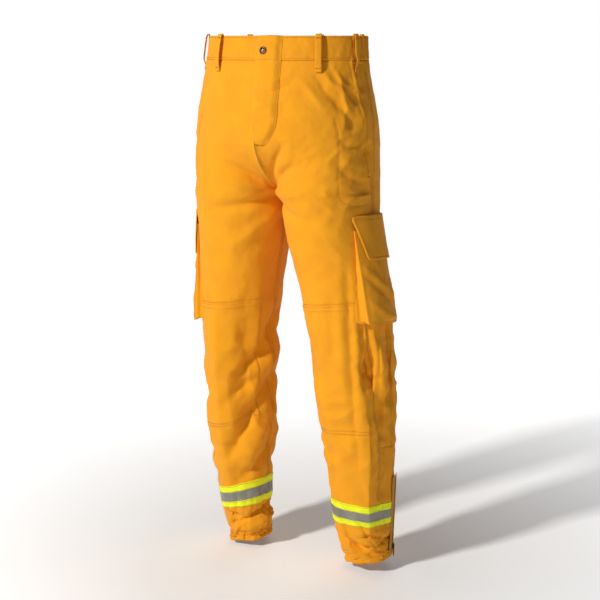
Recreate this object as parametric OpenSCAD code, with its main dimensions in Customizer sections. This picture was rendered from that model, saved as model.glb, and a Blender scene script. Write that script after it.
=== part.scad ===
// Wildland firefighter's over-trousers, worn shape, standing open.
// +X is the wearer's left, -Y the front, +Z up. The origin is the middle of the waist
// opening, level with the waistband's top edge. "Depth" is the distance below that edge.

/* [Cloth] */
// Thickness of a panel of cloth with its seams
cloth_t = 1.5; // [1:0.1:2]
// Thickness of a patch, trim or tape sewn on a panel
patch_t = 1.2; // [0.8:0.1:1.6]

/* [Waist] */
// Height of the waistband
band_h = 45; // [40:1:50]
// Width of a belt loop
loop_w = 14; // [10:1:18]
// Clear space inside a belt loop, outward
loop_gap = 7; // [6:0.5:9]

/* [Fly] */
// Width of the fly flap, from its free edge to its stitched edge
fly_w = 46; // [42:1:50]
// How far the flap laps past the front centre line
fly_lap = 8; // [4:1:12]
// Length of the fly's zip teeth
fly_zip_l = 150; // [130:5:160]
// Diameter of the waist snap's cap
snap_d = 15; // [12:0.5:17]

/* [Cargo pockets] */
// Width of a cargo pocket
cargo_w = 120; // [110:2:130]
// Angle that a cargo pocket is turned towards the front
cargo_turn = 2; // [0:1:8]
// How far the pocket stands off the leg at its top
cargo_top_gap = 6; // [6:1:10]
// How far the pocket stands off the leg at its bottom
cargo_bottom_gap = 12; // [10:1:20]
// How far the pocket's bottom is forward of its top
cargo_lean = 14; // [0:1:20]
// How far the pocket's edges curve back towards the leg
cargo_sag = 18; // [12:1:20]

/* [Leg zips] */
// Length of a leg zip's teeth
leg_zip_l = 165; // [140:5:170]

/* [Hidden] */
COLS = 28;
seam = COLS / 2;
crotch = 295;
rise_top = 150;
shape_power = 2.25;

// Depths of the grid's rows, with each edge of a band, pocket or patch on one of them
ROWS = [0, band_h, 72, 100, 130, 165, 200, 225, 248, 268, 282, 291, crotch, 325, 353, 393,
    433, 478, 522, 565, 605, 645, 685, 725, 765, 800, 835, 870, 900, 915, 935, 950, 980,
    1010, 1036, 1062];
last_row = len(ROWS) - 1;
band_row = 1;
fly_row = 6;
knee_rows = [18, 24];
trim_rows = [28, 29, 30, 31];
cuff_rows = [34, last_row];
rear_rows = [3, 8];

// Hip sections: depth, half width, half thickness, middle of the thickness
HIP = [[0, 160, 105, 1], [45, 164, 110, -2], [100, 173, 121, -1], [150, 182, 131, 1],
    [210, 184, 143, 3], [300, 180, 142, 6]];
// Leg sections: depth, middle X, middle Y, half width, half thickness, how much a section's
// plane rises towards +X and towards +Y, and how much it is lifted
LEFT_LEG = [[295, 90, 8, 90, 116, 0, 0, 0], [380, 98, 12, 86, 102, 0.1, 0, 2],
    [470, 116, 16, 82, 92, 0.16, -0.06, 8], [565, 134, 20, 82, 88, 0.1, -0.1, 10],
    [620, 142, 24, 82, 84, 0.1, -0.08, 4], [765, 149, 40, 76, 76, 0.12, -0.04, -5],
    [900, 150, 52, 62, 60, 0.02, -0.1, -26], [950, 151, 56, 60, 56, 0.04, -0.04, -22],
    [1000, 154, 58, 55, 52, 0.08, 0, -10], [1062, 160, 60, 46, 46, 0.14, 0.04, 4]];
RIGHT_LEG = [[295, 93, 6, 93, 116, 0, 0, 0], [380, 100, 10, 88, 102, 0.04, 0, 0],
    [470, 110, 16, 81, 92, 0.1, -0.02, -4], [565, 118, 20, 76, 84, 0.08, 0, 0],
    [620, 123, 24, 75, 80, 0.14, 0, -6], [765, 129, 40, 72, 72, 0.28, 0, -22],
    [900, 130, 52, 57, 56, 0.32, -0.08, -34], [950, 127, 56, 53, 54, 0.26, -0.06, -35],
    [1000, 123, 60, 49, 50, 0.22, -0.02, -24], [1062, 121, 62, 42, 44, 0.16, 0, -5]];

function station_at(table, d, i = 0) =
    i >= len(table) - 2 || d <= table[i + 1][0] ? i : station_at(table, d, i + 1);
function slope_at(table, k) =
    let (a = max(k - 1, 0), b = min(k + 1, len(table) - 1))
    (table[b] - table[a]) / (table[b][0] - table[a][0]);
// One row of a table of sections, smoothly interpolated at depth d
function section(table, d) =
    let (i = station_at(table, d), h = table[i + 1][0] - table[i][0],
        t = (d - table[i][0]) / h, t2 = t * t, t3 = t2 * t)
    (2 * t3 - 3 * t2 + 1) * table[i] + (t3 - 2 * t2 + t) * h * slope_at(table, i)
    + (3 * t2 - 2 * t3) * table[i + 1] + (t3 - t2) * h * slope_at(table, i + 1);

function bent(v, p) = sign(v) * pow(abs(v), p);
function leg_section(side, d) = section(side > 0 ? LEFT_LEG : RIGHT_LEG, d);
// Round the leg: u is 0 at the inseam, 1/4 in front, 1/2 at the side seam, 3/4 behind
function leg_point(side, u, d) =
    let (s = leg_section(side, d), p = 2 / shape_power)
    [side * (s[1] - s[3] * bent(cos(360 * u), p)), s[2] - s[4] * bent(sin(360 * u), p)];
// Round half of the hips: u is 0 at the front centre, 1/2 at the side seam, 1 behind
function hip_point(side, u, d) =
    let (s = section(HIP, d))
    [side * s[1] * bent(sin(180 * u), 0.96), s[3] - s[2] * bent(cos(180 * u), 0.94)];
// How much of the hip shape there is between the crotch and the top of the rise: the
// inseam follows the round of the rise seam, and the sides change gently
function hip_share(u, d) =
    let (t = (crotch - d) / (crotch - rise_top), side_share = pow(sin(180 * u), 0.6))
    (1 - side_share) * sqrt(1 - (1 - t) * (1 - t)) + side_share * t * t * (3 - 2 * t);
function body_point(side, u, d) =
    d >= crotch ? leg_point(side, u, d)
    : d <= rise_top ? hip_point(side, u, d)
    : let (m = hip_share(u, d))
        (1 - m) * leg_point(side, u, crotch) + m * hip_point(side, u, d);
function on_centre(u, d) = d < crotch && (u <= 0 || u >= 1);
function outward(side, u, d) =
    on_centre(u, d) ? [0, u < 0.5 ? -1 : 1]
    : let (e = 0.004, t = body_point(side, u + e, d) - body_point(side, u - e, d))
        side * [t[1], -t[0]] / norm(t);
// How far a section's plane is above its depth at a point of a leg
function tilt_rise(side, p, d) =
    d <= crotch ? 0
    : let (s = leg_section(side, d))
        s[5] * (p[0] - side * s[1]) + s[6] * (p[1] - s[2]) + s[7];
// A point of the trousers' surface, raised outward by o
function skin(side, u, d, o) =
    let (p = body_point(side, u, d) + o * outward(side, u, d))
    [side * max(side * p[0], 0), p[1], tilt_rise(side, p, d) - d];

// Sewn cloth over the grid's cells from row i0 to i1 and column j0 to j1, between two
// offsets from the surface. The cells in skip, rows then columns, are left out.
module cloth(side, i0, i1, j0, j1, o_in, o_out, skip = [0, 0, 0, 0]) {
    cols = j1 - j0 + 1;
    rows = i1 - i0 + 1;
    layer = rows * cols;
    points = [for (o = [o_out, o_in]) for (i = [i0 : i1]) for (j = [j0 : j1])
        skin(side, j / COLS, ROWS[i], o)];
    function kept(i, j) = i >= i0 && i < i1 && j >= j0 && j < j1
        && !(i >= skip[0] && i < skip[1] && j >= skip[2] && j < skip[3]);
    function at(i, j, k) = (i - i0) * cols + (j - j0) + k * layer;
    // Faces as seen from outside a left-hand leg
    faces = [for (i = [i0 : i1 - 1]) for (j = [j0 : j1 - 1]) if (kept(i, j)) each [
        [at(i, j, 0), at(i, j + 1, 0), at(i + 1, j + 1, 0)],
        [at(i, j, 0), at(i + 1, j + 1, 0), at(i + 1, j, 0)],
        [at(i, j, 1), at(i + 1, j + 1, 1), at(i, j + 1, 1)],
        [at(i, j, 1), at(i + 1, j, 1), at(i + 1, j + 1, 1)],
        if (!kept(i - 1, j)) each wall(at(i, j + 1, 0), at(i, j, 0), layer),
        if (!kept(i + 1, j)) each wall(at(i + 1, j, 0), at(i + 1, j + 1, 0), layer),
        if (!kept(i, j - 1)) each wall(at(i, j, 0), at(i + 1, j, 0), layer),
        if (!kept(i, j + 1)) each wall(at(i + 1, j + 1, 0), at(i, j + 1, 0), layer)]];
    polyhedron(points, side > 0 ? faces : [for (f = faces) [f[2], f[1], f[0]]]);
}
// The edge face between two points of the outer layer and those behind them
function wall(a, b, layer) = [[a, b, b + layer], [a, b + layer, a + layer]];

// ---- Panels and waistband ----
module front_panel(side) {
    fly_cells = side > 0 ? [band_row, fly_row, 0, 2] : [0, 0, 0, 0];
    color("orange") cloth(side, band_row, last_row, 0, seam, -cloth_t, 0, fly_cells);
}
module back_panel(side)
    color("darkorange") cloth(side, band_row, last_row, seam, COLS, -cloth_t, 0);
module waistband(side)
    color("orange") cloth(side, 0, band_row, side > 0 ? 2 : 0, COLS, -cloth_t, 0.8);
module waist_elastic()
    color("sienna") for (side = [-1, 1])
        cloth(side, 0, band_row, seam - 2, seam + 4, -2 * cloth_t, -cloth_t);

// A strap along the leg between two values of u. Each stop is a depth and the offsets of
// the strap's inner and outer face there.
module strap(side, u0, u1, stops) {
    last = len(stops) - 1;
    points = [for (s = stops) each [skin(side, u0, s[0], s[2]), skin(side, u1, s[0], s[2]),
        skin(side, u1, s[0], s[1]), skin(side, u0, s[0], s[1])]];
    sides = [for (i = [0 : last - 1]) for (k = [0 : 3])
        let (a = 4 * i + k, b = 4 * i + (k + 1) % 4) each [[a, b, b + 4], [a, b + 4, a + 4]]];
    ends = [[0, 2, 1], [0, 3, 2], [4 * last, 4 * last + 1, 4 * last + 2],
        [4 * last, 4 * last + 2, 4 * last + 3]];
    faces = concat(sides, ends);
    polyhedron(points, side > 0 ? faces : [for (f = faces) [f[2], f[1], f[0]]]);
}
// Where the belt loops are: side and u
LOOPS = [[1, 0.23], [1, 0.42], [1, 0.73], [-1, 0.19], [-1, 0.42], [-1, 0.73], [1, 0.97]];
module belt_loops() {
    foot_h = 6;
    loop_t = 1.4;
    low = band_h + 18;
    foot_o = patch_t + 0.3;
    out = loop_gap + loop_t;
    color("orange") for (l = LOOPS) {
        half = loop_w / 1000;
        strap(l[0], l[1] - half, l[1] + half, [[0, 0.9, 3], [foot_h - 2, 0.9, 4],
            [foot_h + 3, loop_gap, out], [low - foot_h - 5, loop_gap, out],
            [low - foot_h, foot_o, 4.6], [low, foot_o, 3]]);
    }
}

// ---- Fly ----
// The fly's flat parts share a plane that leans out with the belly
fly_front = HIP[0][2] - HIP[0][3];
fly_lean = 9.85;
fly_l = 198;
hinge_x = fly_w - fly_lap;
flap_o = 4.6;
zip_x = 15;
tooth_w = 4.4;
tape_w = 11;
zip_top = band_h + 8;
snap_x = 11;
snap_depth = 28;
module in_fly() translate([0, -fly_front, 0]) rotate([-fly_lean, 0, 0]) children();
// A plate in the fly's plane: from x0 to x1, between two depths, o0 to o1 outward
module fly_plate(x0, x1, d0, d1, o0, o1)
    translate([x0, -o1, -d1]) cube([x1 - x0, o1 - o0, d1 - d0]);
// A disc or a hole in the fly's plane
module fly_disc(d, o0, o1)
    translate([snap_x, -o0, -snap_depth]) rotate([90, 0, 0])
        cylinder(d = d, h = o1 - o0, $fn = 48);
// A corner cut off the plates below it
module fly_corner(x, depth, size)
    translate([x, -flap_o + 1, -depth]) rotate([90, 45, 0])
        translate([-size / 2, -size / 2, 0]) cube([size, size, 12]);

module waist_tab()
    color("orange") in_fly() difference() {
        fly_plate(-fly_lap, hinge_x, 0, band_h, flap_o, flap_o + 2);
        fly_corner(-fly_lap, 0, 11);
        fly_disc(5, flap_o - 1, flap_o + 3);
    }
module fly_facing()
    color("orange") in_fly() difference() {
        fly_plate(-2, hinge_x, band_h, fly_l, flap_o, flap_o + cloth_t);
        fly_corner(-2, fly_l, 50);
    }
module fly_seam()
    color("orange") in_fly()
        fly_plate(hinge_x - 2, hinge_x + 4, 0, fly_l, 0.6, flap_o - 0.3);
module fly_shield()
    color("darkorange") in_fly() fly_plate(0.5, hinge_x - 3, 2, fly_l - 6, -5, -5 + cloth_t);
module waist_underlap()
    color("darkorange") in_fly() fly_plate(0.5, hinge_x - 3, 0, band_h, 0.9, 2.6);
module fly_tapes()
    color("goldenrod") in_fly() for (x = [zip_x - tape_w, zip_x + tooth_w / 2])
        fly_plate(x, x + tape_w - tooth_w / 2, band_h + 1, zip_top + fly_zip_l - 10, -1, -0.2);
module fly_chain()
    color("darkgoldenrod") in_fly()
        fly_plate(zip_x - tooth_w / 2, zip_x + tooth_w / 2, zip_top,
            zip_top + fly_zip_l - 12, -1.4, 0.2);
// A slider is a shell over the front of the teeth and a plate behind them
module slider(w, l)
    difference() {
        translate([-w / 2, -2.2, -l]) cube([w, 4.7, l]);
        translate([-w / 2 - 1, -0.5, -l - 1]) cube([w + 2, 2.2, l + 2]);
    }
// A pull tab hangs on a slider's bridge
module pull_tab(w, l)
    difference() {
        translate([-w / 2, -3.6, -l]) cube([w, 1, l]);
        translate([-w / 2 + 1.4, -4.6, -5]) cube([w - 2.8, 3, 3.2]);
        translate([0, -2, -l + 4]) rotate([90, 0, 0]) cylinder(d = 2.2, h = 3, $fn = 32);
    }
module at_fly_slider() in_fly() translate([zip_x, 0, -zip_top]) children();
module fly_slider() color("peru") at_fly_slider() slider(8, 11);
module fly_pull() color("peru") at_fly_slider() translate([0, -0.1, -3]) pull_tab(5, 22);

module snap_cap()
    color("saddlebrown") in_fly() {
        fly_disc(snap_d, flap_o + 2, flap_o + 3.6);
        fly_disc(4.6, flap_o, flap_o + 2);
    }
module snap_socket()
    color("saddlebrown") in_fly() difference() {
        fly_disc(13, 3.1, flap_o);
        fly_disc(8.6, 2, flap_o - 0.2);
    }
module snap_stud() color("saddlebrown") in_fly() fly_disc(8, 2.6, 4.1);

// ---- Front pockets ----
module front_pocket_bag(side)
    color("moccasin") cloth(side, 1, 7, 5, 13, -2.5 * cloth_t, -1.5 * cloth_t);
module front_pocket_facing(side)
    color("orange") cloth(side, 1, 6, 11, 13, 0, patch_t);

// ---- Cargo pockets ----
CARGO = [353, 372, 433, 565];
cargo_top = CARGO[0];
cargo_open = CARGO[1];
cargo_flap_low = CARGO[2];
cargo_low = CARGO[3];
flap_slant = 20;
header_in = 2.2;
// How much the pocket's top edge rises towards the front
cargo_tip = 0.07;
function cargo_out(side) = [side * cos(cargo_turn), -sin(cargo_turn)];
function cargo_along(side) = [side * sin(cargo_turn), cos(cargo_turn)];
// The middle of a cargo pocket's face, gap outside the leg, at depth d
function cargo_middle(side, d, gap) =
    let (s = leg_section(side, d))
    [side * s[1], s[2]] + (norm([s[3] * cos(cargo_turn), s[4] * sin(cargo_turn)]) + gap)
        * cargo_out(side);
// A point of a cargo pocket: a along the face from its middle, o outward
function cargo_point(side, a, d, o) =
    let (t = (d - cargo_top) / (cargo_low - cargo_top), k = 2 * a / cargo_w,
        reach = (o - cargo_sag * k * k) * cargo_out(side),
        top = cargo_middle(side, cargo_top, cargo_top_gap) + reach + a * cargo_along(side),
        low = cargo_middle(side, cargo_low, cargo_bottom_gap) + reach
            + (a - cargo_lean) * cargo_along(side),
        p = (1 - t) * top + t * low,
        rise = (1 - t) * (tilt_rise(side, top, cargo_top) - cargo_tip * a)
            + t * tilt_rise(side, low, cargo_low))
    [p[0], p[1], rise - d];
// How far outside a leg's section a point is: over 1 is outside
function outside(s, x, y) =
    pow(abs((x - s[1]) / s[3]), shape_power) + pow(abs((y - s[2]) / s[4]), shape_power);
// How far inward the leg is from a point of the pocket's face, found by halving
function to_leg(side, p, d, low = 0, high = 70, n = 18) =
    n == 0 ? low
    : let (mid = (low + high) / 2, q = [p[0], p[1]] - mid * cargo_out(side),
        s = leg_section(side, d))
        outside(s, abs(q[0]), q[1]) > 1 ? to_leg(side, p, d, mid, high, n - 1)
        : to_leg(side, p, d, low, mid, n - 1);

// A curved plate on a cargo pocket's face. Its low front corner is cut back by slant.
module cargo_plate(side, a0, a1, d0, d1, o0, o1, slant = 0, cells = 8) {
    function across(d, i) = let (a = a0 + (d == d1 ? slant : 0)) a + (a1 - a) * i / cells;
    n = cells + 1;
    points = [for (o = [o1, o0]) for (d = [d0, d1]) for (i = [0 : cells])
        cargo_point(side, across(d, i), d, o)];
    faces = [for (i = [0 : cells - 1]) each [
        [i, i + 1, i + n + 1], [i, i + n + 1, i + n],
        [i + 2 * n, i + 3 * n + 1, i + 2 * n + 1], [i + 2 * n, i + 3 * n, i + 3 * n + 1],
        each wall(i + 1, i, 2 * n), each wall(i + n, i + n + 1, 2 * n),
        if (i == 0) each wall(0, n, 2 * n), if (i == cells - 1) each wall(2 * n - 1, n - 1, 2 * n)]];
    polyhedron(points, side > 0 ? faces : [for (f = faces) [f[2], f[1], f[0]]]);
}
module cargo_face(side)
    color("orange") cargo_plate(side, -cargo_w / 2, cargo_w / 2, cargo_open, cargo_low, -cloth_t, 0);
// The gusset joins the face to the leg at the front, bottom and back
module cargo_gusset(side) {
    half = cargo_w / 2;
    cells = 8;
    route = concat([for (d = [cargo_open, 433, 478, 522, cargo_low]) [-half, d, 1, 0]],
        [for (i = [1 : cells - 1]) [-half + cargo_w * i / cells, cargo_low, 0, -1]],
        [for (d = [cargo_low, 522, 478, 433, cargo_open]) [half, d, -1, 0]]);
    function stop(r) =
        let (corner = r[1] == cargo_low && abs(r[0]) == half,
            a = r[0] + cloth_t * r[2], d = corner ? r[1] - cloth_t : r[1] + cloth_t * r[3],
            outer = cargo_point(side, r[0], r[1], -cloth_t - 0.05),
            inner = cargo_point(side, a, d, -cloth_t - 0.05),
            reach = concat(cargo_out(side), [0]),
            gap = patch_t + 1)
        [outer, inner, inner - (to_leg(side, inner, d) - gap) * reach,
            outer - (to_leg(side, outer, r[1]) - gap) * reach];
    points = [for (r = route) each stop(r)];
    last = len(route) - 1;
    sides = [for (i = [0 : last - 1]) for (k = [0 : 3])
        let (a = 4 * i + k, b = 4 * i + (k + 1) % 4) each [[a, b + 4, b], [a, a + 4, b + 4]]];
    ends = [[0, 1, 2], [0, 2, 3], [4 * last, 4 * last + 2, 4 * last + 1],
        [4 * last, 4 * last + 3, 4 * last + 2]];
    faces = concat(sides, ends);
    color("darkorange") polyhedron(points, side > 0 ? faces : [for (f = faces) [f[2], f[1], f[0]]]);
}
module cargo_flap(side)
    color("orange") cargo_plate(side, -cargo_w / 2 - 3, cargo_w / 2 + 3, cargo_top,
        cargo_flap_low, 3.1, 4.6, flap_slant);
// The strip that the flap is sewn to, above the pocket's mouth
module cargo_header(side)
    color("orange") cargo_plate(side, -cargo_w / 2, cargo_w / 2, cargo_top - 9, cargo_top - 2,
        header_in, 4.6);
module cargo_hook(side)
    color("tan") cargo_plate(side, -cargo_w / 2 + 22, cargo_w / 2 - 12, cargo_flap_low - 32,
        cargo_flap_low - 8, 1.3, 2);
module cargo_loop(side)
    color("tan") cargo_plate(side, -cargo_w / 2 + 22, cargo_w / 2 - 12, cargo_flap_low - 32,
        cargo_flap_low - 8, 0.4, 1.1);

// ---- Rear pockets ----
module rear_pocket(side)
    color("orange") cloth(side, rear_rows[0] + 1, rear_rows[1], 19, 25, 0, patch_t);
module rear_flap(side)
    color("orange") cloth(side, rear_rows[0], rear_rows[0] + 2, 19, 25, 2, 3.4);

// ---- Knees, trim, cuffs ----
module knee_patch(side)
    color("orange") cloth(side, knee_rows[0], knee_rows[1], 2, seam - 1, 0, patch_t);
module trim_lime(side)
    color("greenyellow") for (i = [trim_rows[0], trim_rows[2]]) {
        cloth(side, i, i + 1, 0, seam, 0, patch_t);
        cloth(side, i, i + 1, seam + 1, COLS, 0, patch_t);
    }
module trim_silver(side)
    color("silver") {
        cloth(side, trim_rows[1], trim_rows[2], 0, seam, 0, patch_t);
        cloth(side, trim_rows[1], trim_rows[2], seam + 1, COLS, 0, patch_t);
    }
module hem_cuff(side)
    color("orange") {
        cloth(side, cuff_rows[0], cuff_rows[1], 0, seam, 0, patch_t);
        cloth(side, cuff_rows[0], cuff_rows[1], seam + 1, COLS, 0, patch_t);
    }

// ---- Leg zips ----
zip_u = (seam + 0.5) / COLS;
leg_zip_low = 1042;
zip_out = 4;
leg_zip_high = leg_zip_low - leg_zip_l;
function zip_outward(side) = outward(side, zip_u, leg_zip_low);
// The zip's own frame: its teeth run straight up from the origin, -Y is outward
module in_leg_zip(side) {
    low = skin(side, zip_u, leg_zip_low, zip_out);
    high = skin(side, zip_u, leg_zip_high, zip_out);
    n = zip_outward(side);
    rise = high - low;
    translate(low) rotate([atan2(rise[0] * n[0] + rise[1] * n[1], rise[2]),
        atan2(-rise[0] * n[1] + rise[1] * n[0], rise[2]) , atan2(n[0], -n[1])]) children();
}
module leg_placket(side)
    color("orange") cloth(side, 25, 33, seam - 2, seam, patch_t, 2 * patch_t);
module leg_tape(side)
    color("goldenrod") in_leg_zip(side) for (x = [-6, 2.2])
        translate([x, 0.2, 0]) cube([3.8, 0.8, leg_zip_l]);
module leg_chain(side)
    color("darkgoldenrod") in_leg_zip(side)
        translate([-2.2, -0.2, 0]) cube([4.4, 1.4, leg_zip_l]);
leg_slider_l = 11;
module at_leg_slider(side) in_leg_zip(side) translate([0, -0.2, leg_slider_l + 1]) children();
module leg_slider(side)
    color("peru") at_leg_slider(side) difference() {
        translate([-4, -2.4, -leg_slider_l]) cube([8, 2.8, leg_slider_l]);
        translate([-5, -0.3, -leg_slider_l - 1]) cube([10, 3, leg_slider_l + 2]);
    }
module leg_pull(side)
    color("peru") at_leg_slider(side) translate([0, -0.1, -3]) pull_tab(5, 24);

// ---- Ankle take-up tabs ----
tab_cols = [9, 12];
module ankle_tab(side)
    color("darkorange") cloth(side, cuff_rows[0], cuff_rows[1], tab_cols[0] - 2, tab_cols[1],
        patch_t + 0.5, patch_t + 2);

front_panel(1);  // left_front_panel
front_panel(-1);  // right_front_panel
back_panel(1);  // left_back_panel
back_panel(-1);  // right_back_panel
waistband(1);  // left_waistband
waistband(-1);  // right_waistband
waist_elastic();
belt_loops();
fly_shield();
waist_underlap();
fly_seam();
fly_tapes();
fly_chain();
fly_slider();
fly_pull();
waist_tab();
fly_facing();
snap_cap();
snap_socket();
snap_stud();
front_pocket_bag(1);  // left_front_pocket_bag
front_pocket_bag(-1);  // right_front_pocket_bag
front_pocket_facing(1);  // left_front_pocket_facing
front_pocket_facing(-1);  // right_front_pocket_facing
cargo_face(1);  // left_cargo_face
cargo_face(-1);  // right_cargo_face
cargo_gusset(1);  // left_cargo_gusset
cargo_gusset(-1);  // right_cargo_gusset
cargo_header(1);  // left_cargo_header
cargo_header(-1);  // right_cargo_header
cargo_flap(1);  // left_cargo_flap
cargo_flap(-1);  // right_cargo_flap
cargo_hook(1);  // left_cargo_hook
cargo_hook(-1);  // right_cargo_hook
cargo_loop(1);  // left_cargo_loop
cargo_loop(-1);  // right_cargo_loop
rear_pocket(1);  // left_rear_pocket
rear_pocket(-1);  // right_rear_pocket
rear_flap(1);  // left_rear_flap
rear_flap(-1);  // right_rear_flap
knee_patch(1);  // left_knee_patch
knee_patch(-1);  // right_knee_patch
trim_lime(1);  // left_trim_lime
trim_lime(-1);  // right_trim_lime
trim_silver(1);  // left_trim_silver
trim_silver(-1);  // right_trim_silver
hem_cuff(1);  // left_hem_cuff
hem_cuff(-1);  // right_hem_cuff
leg_placket(1);  // left_leg_placket
leg_placket(-1);  // right_leg_placket
leg_tape(1);  // left_leg_tape
leg_tape(-1);  // right_leg_tape
leg_chain(1);  // left_leg_chain
leg_chain(-1);  // right_leg_chain
leg_slider(1);  // left_leg_slider
leg_slider(-1);  // right_leg_slider
leg_pull(1);  // left_leg_pull
leg_pull(-1);  // right_leg_pull
ankle_tab(1);  // left_ankle_tab
ankle_tab(-1);  // right_ankle_tab
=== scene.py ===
import math

import bpy
import numpy as np
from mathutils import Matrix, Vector


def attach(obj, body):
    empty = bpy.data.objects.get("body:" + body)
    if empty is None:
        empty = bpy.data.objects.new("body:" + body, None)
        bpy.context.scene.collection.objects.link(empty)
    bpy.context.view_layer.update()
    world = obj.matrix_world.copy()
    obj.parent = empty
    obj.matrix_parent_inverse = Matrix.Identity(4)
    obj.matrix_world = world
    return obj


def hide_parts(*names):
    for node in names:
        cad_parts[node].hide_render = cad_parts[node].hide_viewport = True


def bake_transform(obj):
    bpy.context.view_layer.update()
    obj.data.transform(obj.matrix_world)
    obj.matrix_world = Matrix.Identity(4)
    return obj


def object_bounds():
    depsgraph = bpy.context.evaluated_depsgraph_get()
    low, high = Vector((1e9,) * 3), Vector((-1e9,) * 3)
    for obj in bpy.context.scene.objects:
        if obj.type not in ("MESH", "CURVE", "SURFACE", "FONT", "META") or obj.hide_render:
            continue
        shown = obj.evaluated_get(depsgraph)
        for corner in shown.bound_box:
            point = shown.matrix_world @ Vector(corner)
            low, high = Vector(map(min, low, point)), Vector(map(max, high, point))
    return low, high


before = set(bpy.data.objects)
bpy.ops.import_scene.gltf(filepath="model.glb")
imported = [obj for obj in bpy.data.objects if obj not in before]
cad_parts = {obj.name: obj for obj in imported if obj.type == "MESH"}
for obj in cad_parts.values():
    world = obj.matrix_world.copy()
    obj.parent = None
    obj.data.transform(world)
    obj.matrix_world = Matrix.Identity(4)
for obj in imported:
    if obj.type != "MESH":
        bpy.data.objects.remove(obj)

cad_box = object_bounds()
MM = 0.001

# ---- Sizes, as in the CAD (millimetres) ----
BAND_H = 45
CROTCH = 295
RISE_TOP = 150
HEM = 1062
SHAPE_POWER = 2.25
SIDES = {1: "left", -1: "right"}
# Depth, half width, half thickness, middle of the thickness
HIP = [(0, 160, 105, 1), (45, 164, 110, -2), (100, 173, 121, -1), (150, 182, 131, 1),
       (210, 184, 143, 3), (300, 180, 142, 6)]
# Depth, middle X, middle Y, half width, half thickness, rise towards +X and +Y, lift
LEG = {
    1: [(295, 90, 8, 90, 116, 0, 0, 0), (380, 98, 12, 86, 102, 0.1, 0, 2),
        (470, 116, 16, 82, 92, 0.16, -0.06, 8), (565, 134, 20, 82, 88, 0.1, -0.1, 10),
        (620, 142, 24, 82, 84, 0.1, -0.08, 4), (765, 149, 40, 76, 76, 0.12, -0.04, -5),
        (900, 150, 52, 62, 60, 0.02, -0.1, -26), (950, 151, 56, 60, 56, 0.04, -0.04, -22),
        (1000, 154, 58, 55, 52, 0.08, 0, -10), (1062, 160, 60, 46, 46, 0.14, 0.04, 4)],
    -1: [(295, 93, 6, 93, 116, 0, 0, 0), (380, 100, 10, 88, 102, 0.04, 0, 0),
         (470, 110, 16, 81, 92, 0.1, -0.02, -4), (565, 118, 20, 76, 84, 0.08, 0, 0),
         (620, 123, 24, 75, 80, 0.14, 0, -6), (765, 129, 40, 72, 72, 0.28, 0, -22),
         (900, 130, 52, 57, 56, 0.32, -0.08, -34), (950, 127, 56, 53, 54, 0.26, -0.06, -35),
         (1000, 123, 60, 49, 50, 0.22, -0.02, -24), (1062, 121, 62, 42, 44, 0.16, 0, -5)]}


def arrays(*values):
    """The values as float arrays of one shape."""
    return np.broadcast_arrays(*(np.asarray(v, float) for v in values))


def unit(v, least=1e-9):
    return v / np.maximum(np.linalg.norm(v, axis=-1, keepdims=True), least)


def smooth(x, low=0.0, high=1.0):
    t = np.clip((np.asarray(x, float) - low) / (high - low), 0, 1)
    return t * t * (3 - 2 * t)


def section(table, depth):
    """Columns of a table of sections, smoothly interpolated at an array of depths."""
    t = np.array(table, float)
    d = np.clip(np.atleast_1d(depth), t[0, 0], t[-1, 0])
    n = len(t)
    slopes = np.array([(t[min(k + 1, n - 1)] - t[max(k - 1, 0)])
                       / (t[min(k + 1, n - 1), 0] - t[max(k - 1, 0), 0]) for k in range(n)])
    i = np.clip(np.searchsorted(t[:, 0], d, side="right") - 1, 0, n - 2)
    h = (t[i + 1, 0] - t[i, 0])[:, None]
    x = (d[:, None] - t[i, :1]) / h
    return ((2 * x**3 - 3 * x**2 + 1) * t[i] + (x**3 - 2 * x**2 + x) * h * slopes[i]
            + (3 * x**2 - 2 * x**3) * t[i + 1] + (x**3 - x**2) * h * slopes[i + 1])


def bent(v, p):
    return np.sign(v) * np.abs(v) ** p


def leg_point(side, u, d):
    s, p = section(LEG[side], d).T, 2 / SHAPE_POWER
    x = -side * s[3] * bent(np.cos(2 * np.pi * u), p)
    y = -s[4] * bent(np.sin(2 * np.pi * u), p)
    return np.stack([side * s[1] + x, s[2] + y, s[5] * x + s[6] * y + s[7] - d], 1)


def tilt_rise(side, p, depth):
    """How far the leg's tilted section is above its depth at points, in millimetres."""
    s = section(LEG[side], [depth])[0]
    return s[5] * (p[..., 0] - side * s[1]) + s[6] * (p[..., 1] - s[2]) + s[7]


def hip_point(side, u, d):
    s = section(HIP, d).T
    return np.stack([side * s[1] * bent(np.sin(np.pi * u), 0.96),
                     s[3] - s[2] * bent(np.cos(np.pi * u), 0.94), -d], 1)


def body_point(side, u, d):
    """The worn shape: u runs round from the front centre or inseam to the back."""
    t = np.clip((CROTCH - d) / (CROTCH - RISE_TOP), 0, 1)
    w = np.clip(np.sin(np.pi * u), 0, 1) ** 0.6
    hip_share = (1 - w) * np.sqrt(1 - (1 - t) ** 2) + w * t * t * (3 - 2 * t)
    m = hip_share[:, None]
    p = (1 - m) * leg_point(side, u, np.maximum(d, CROTCH)) + m * hip_point(side, u, d)
    p[:, 2] = np.where(d < CROTCH, -d, p[:, 2])
    return p * MM


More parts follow.
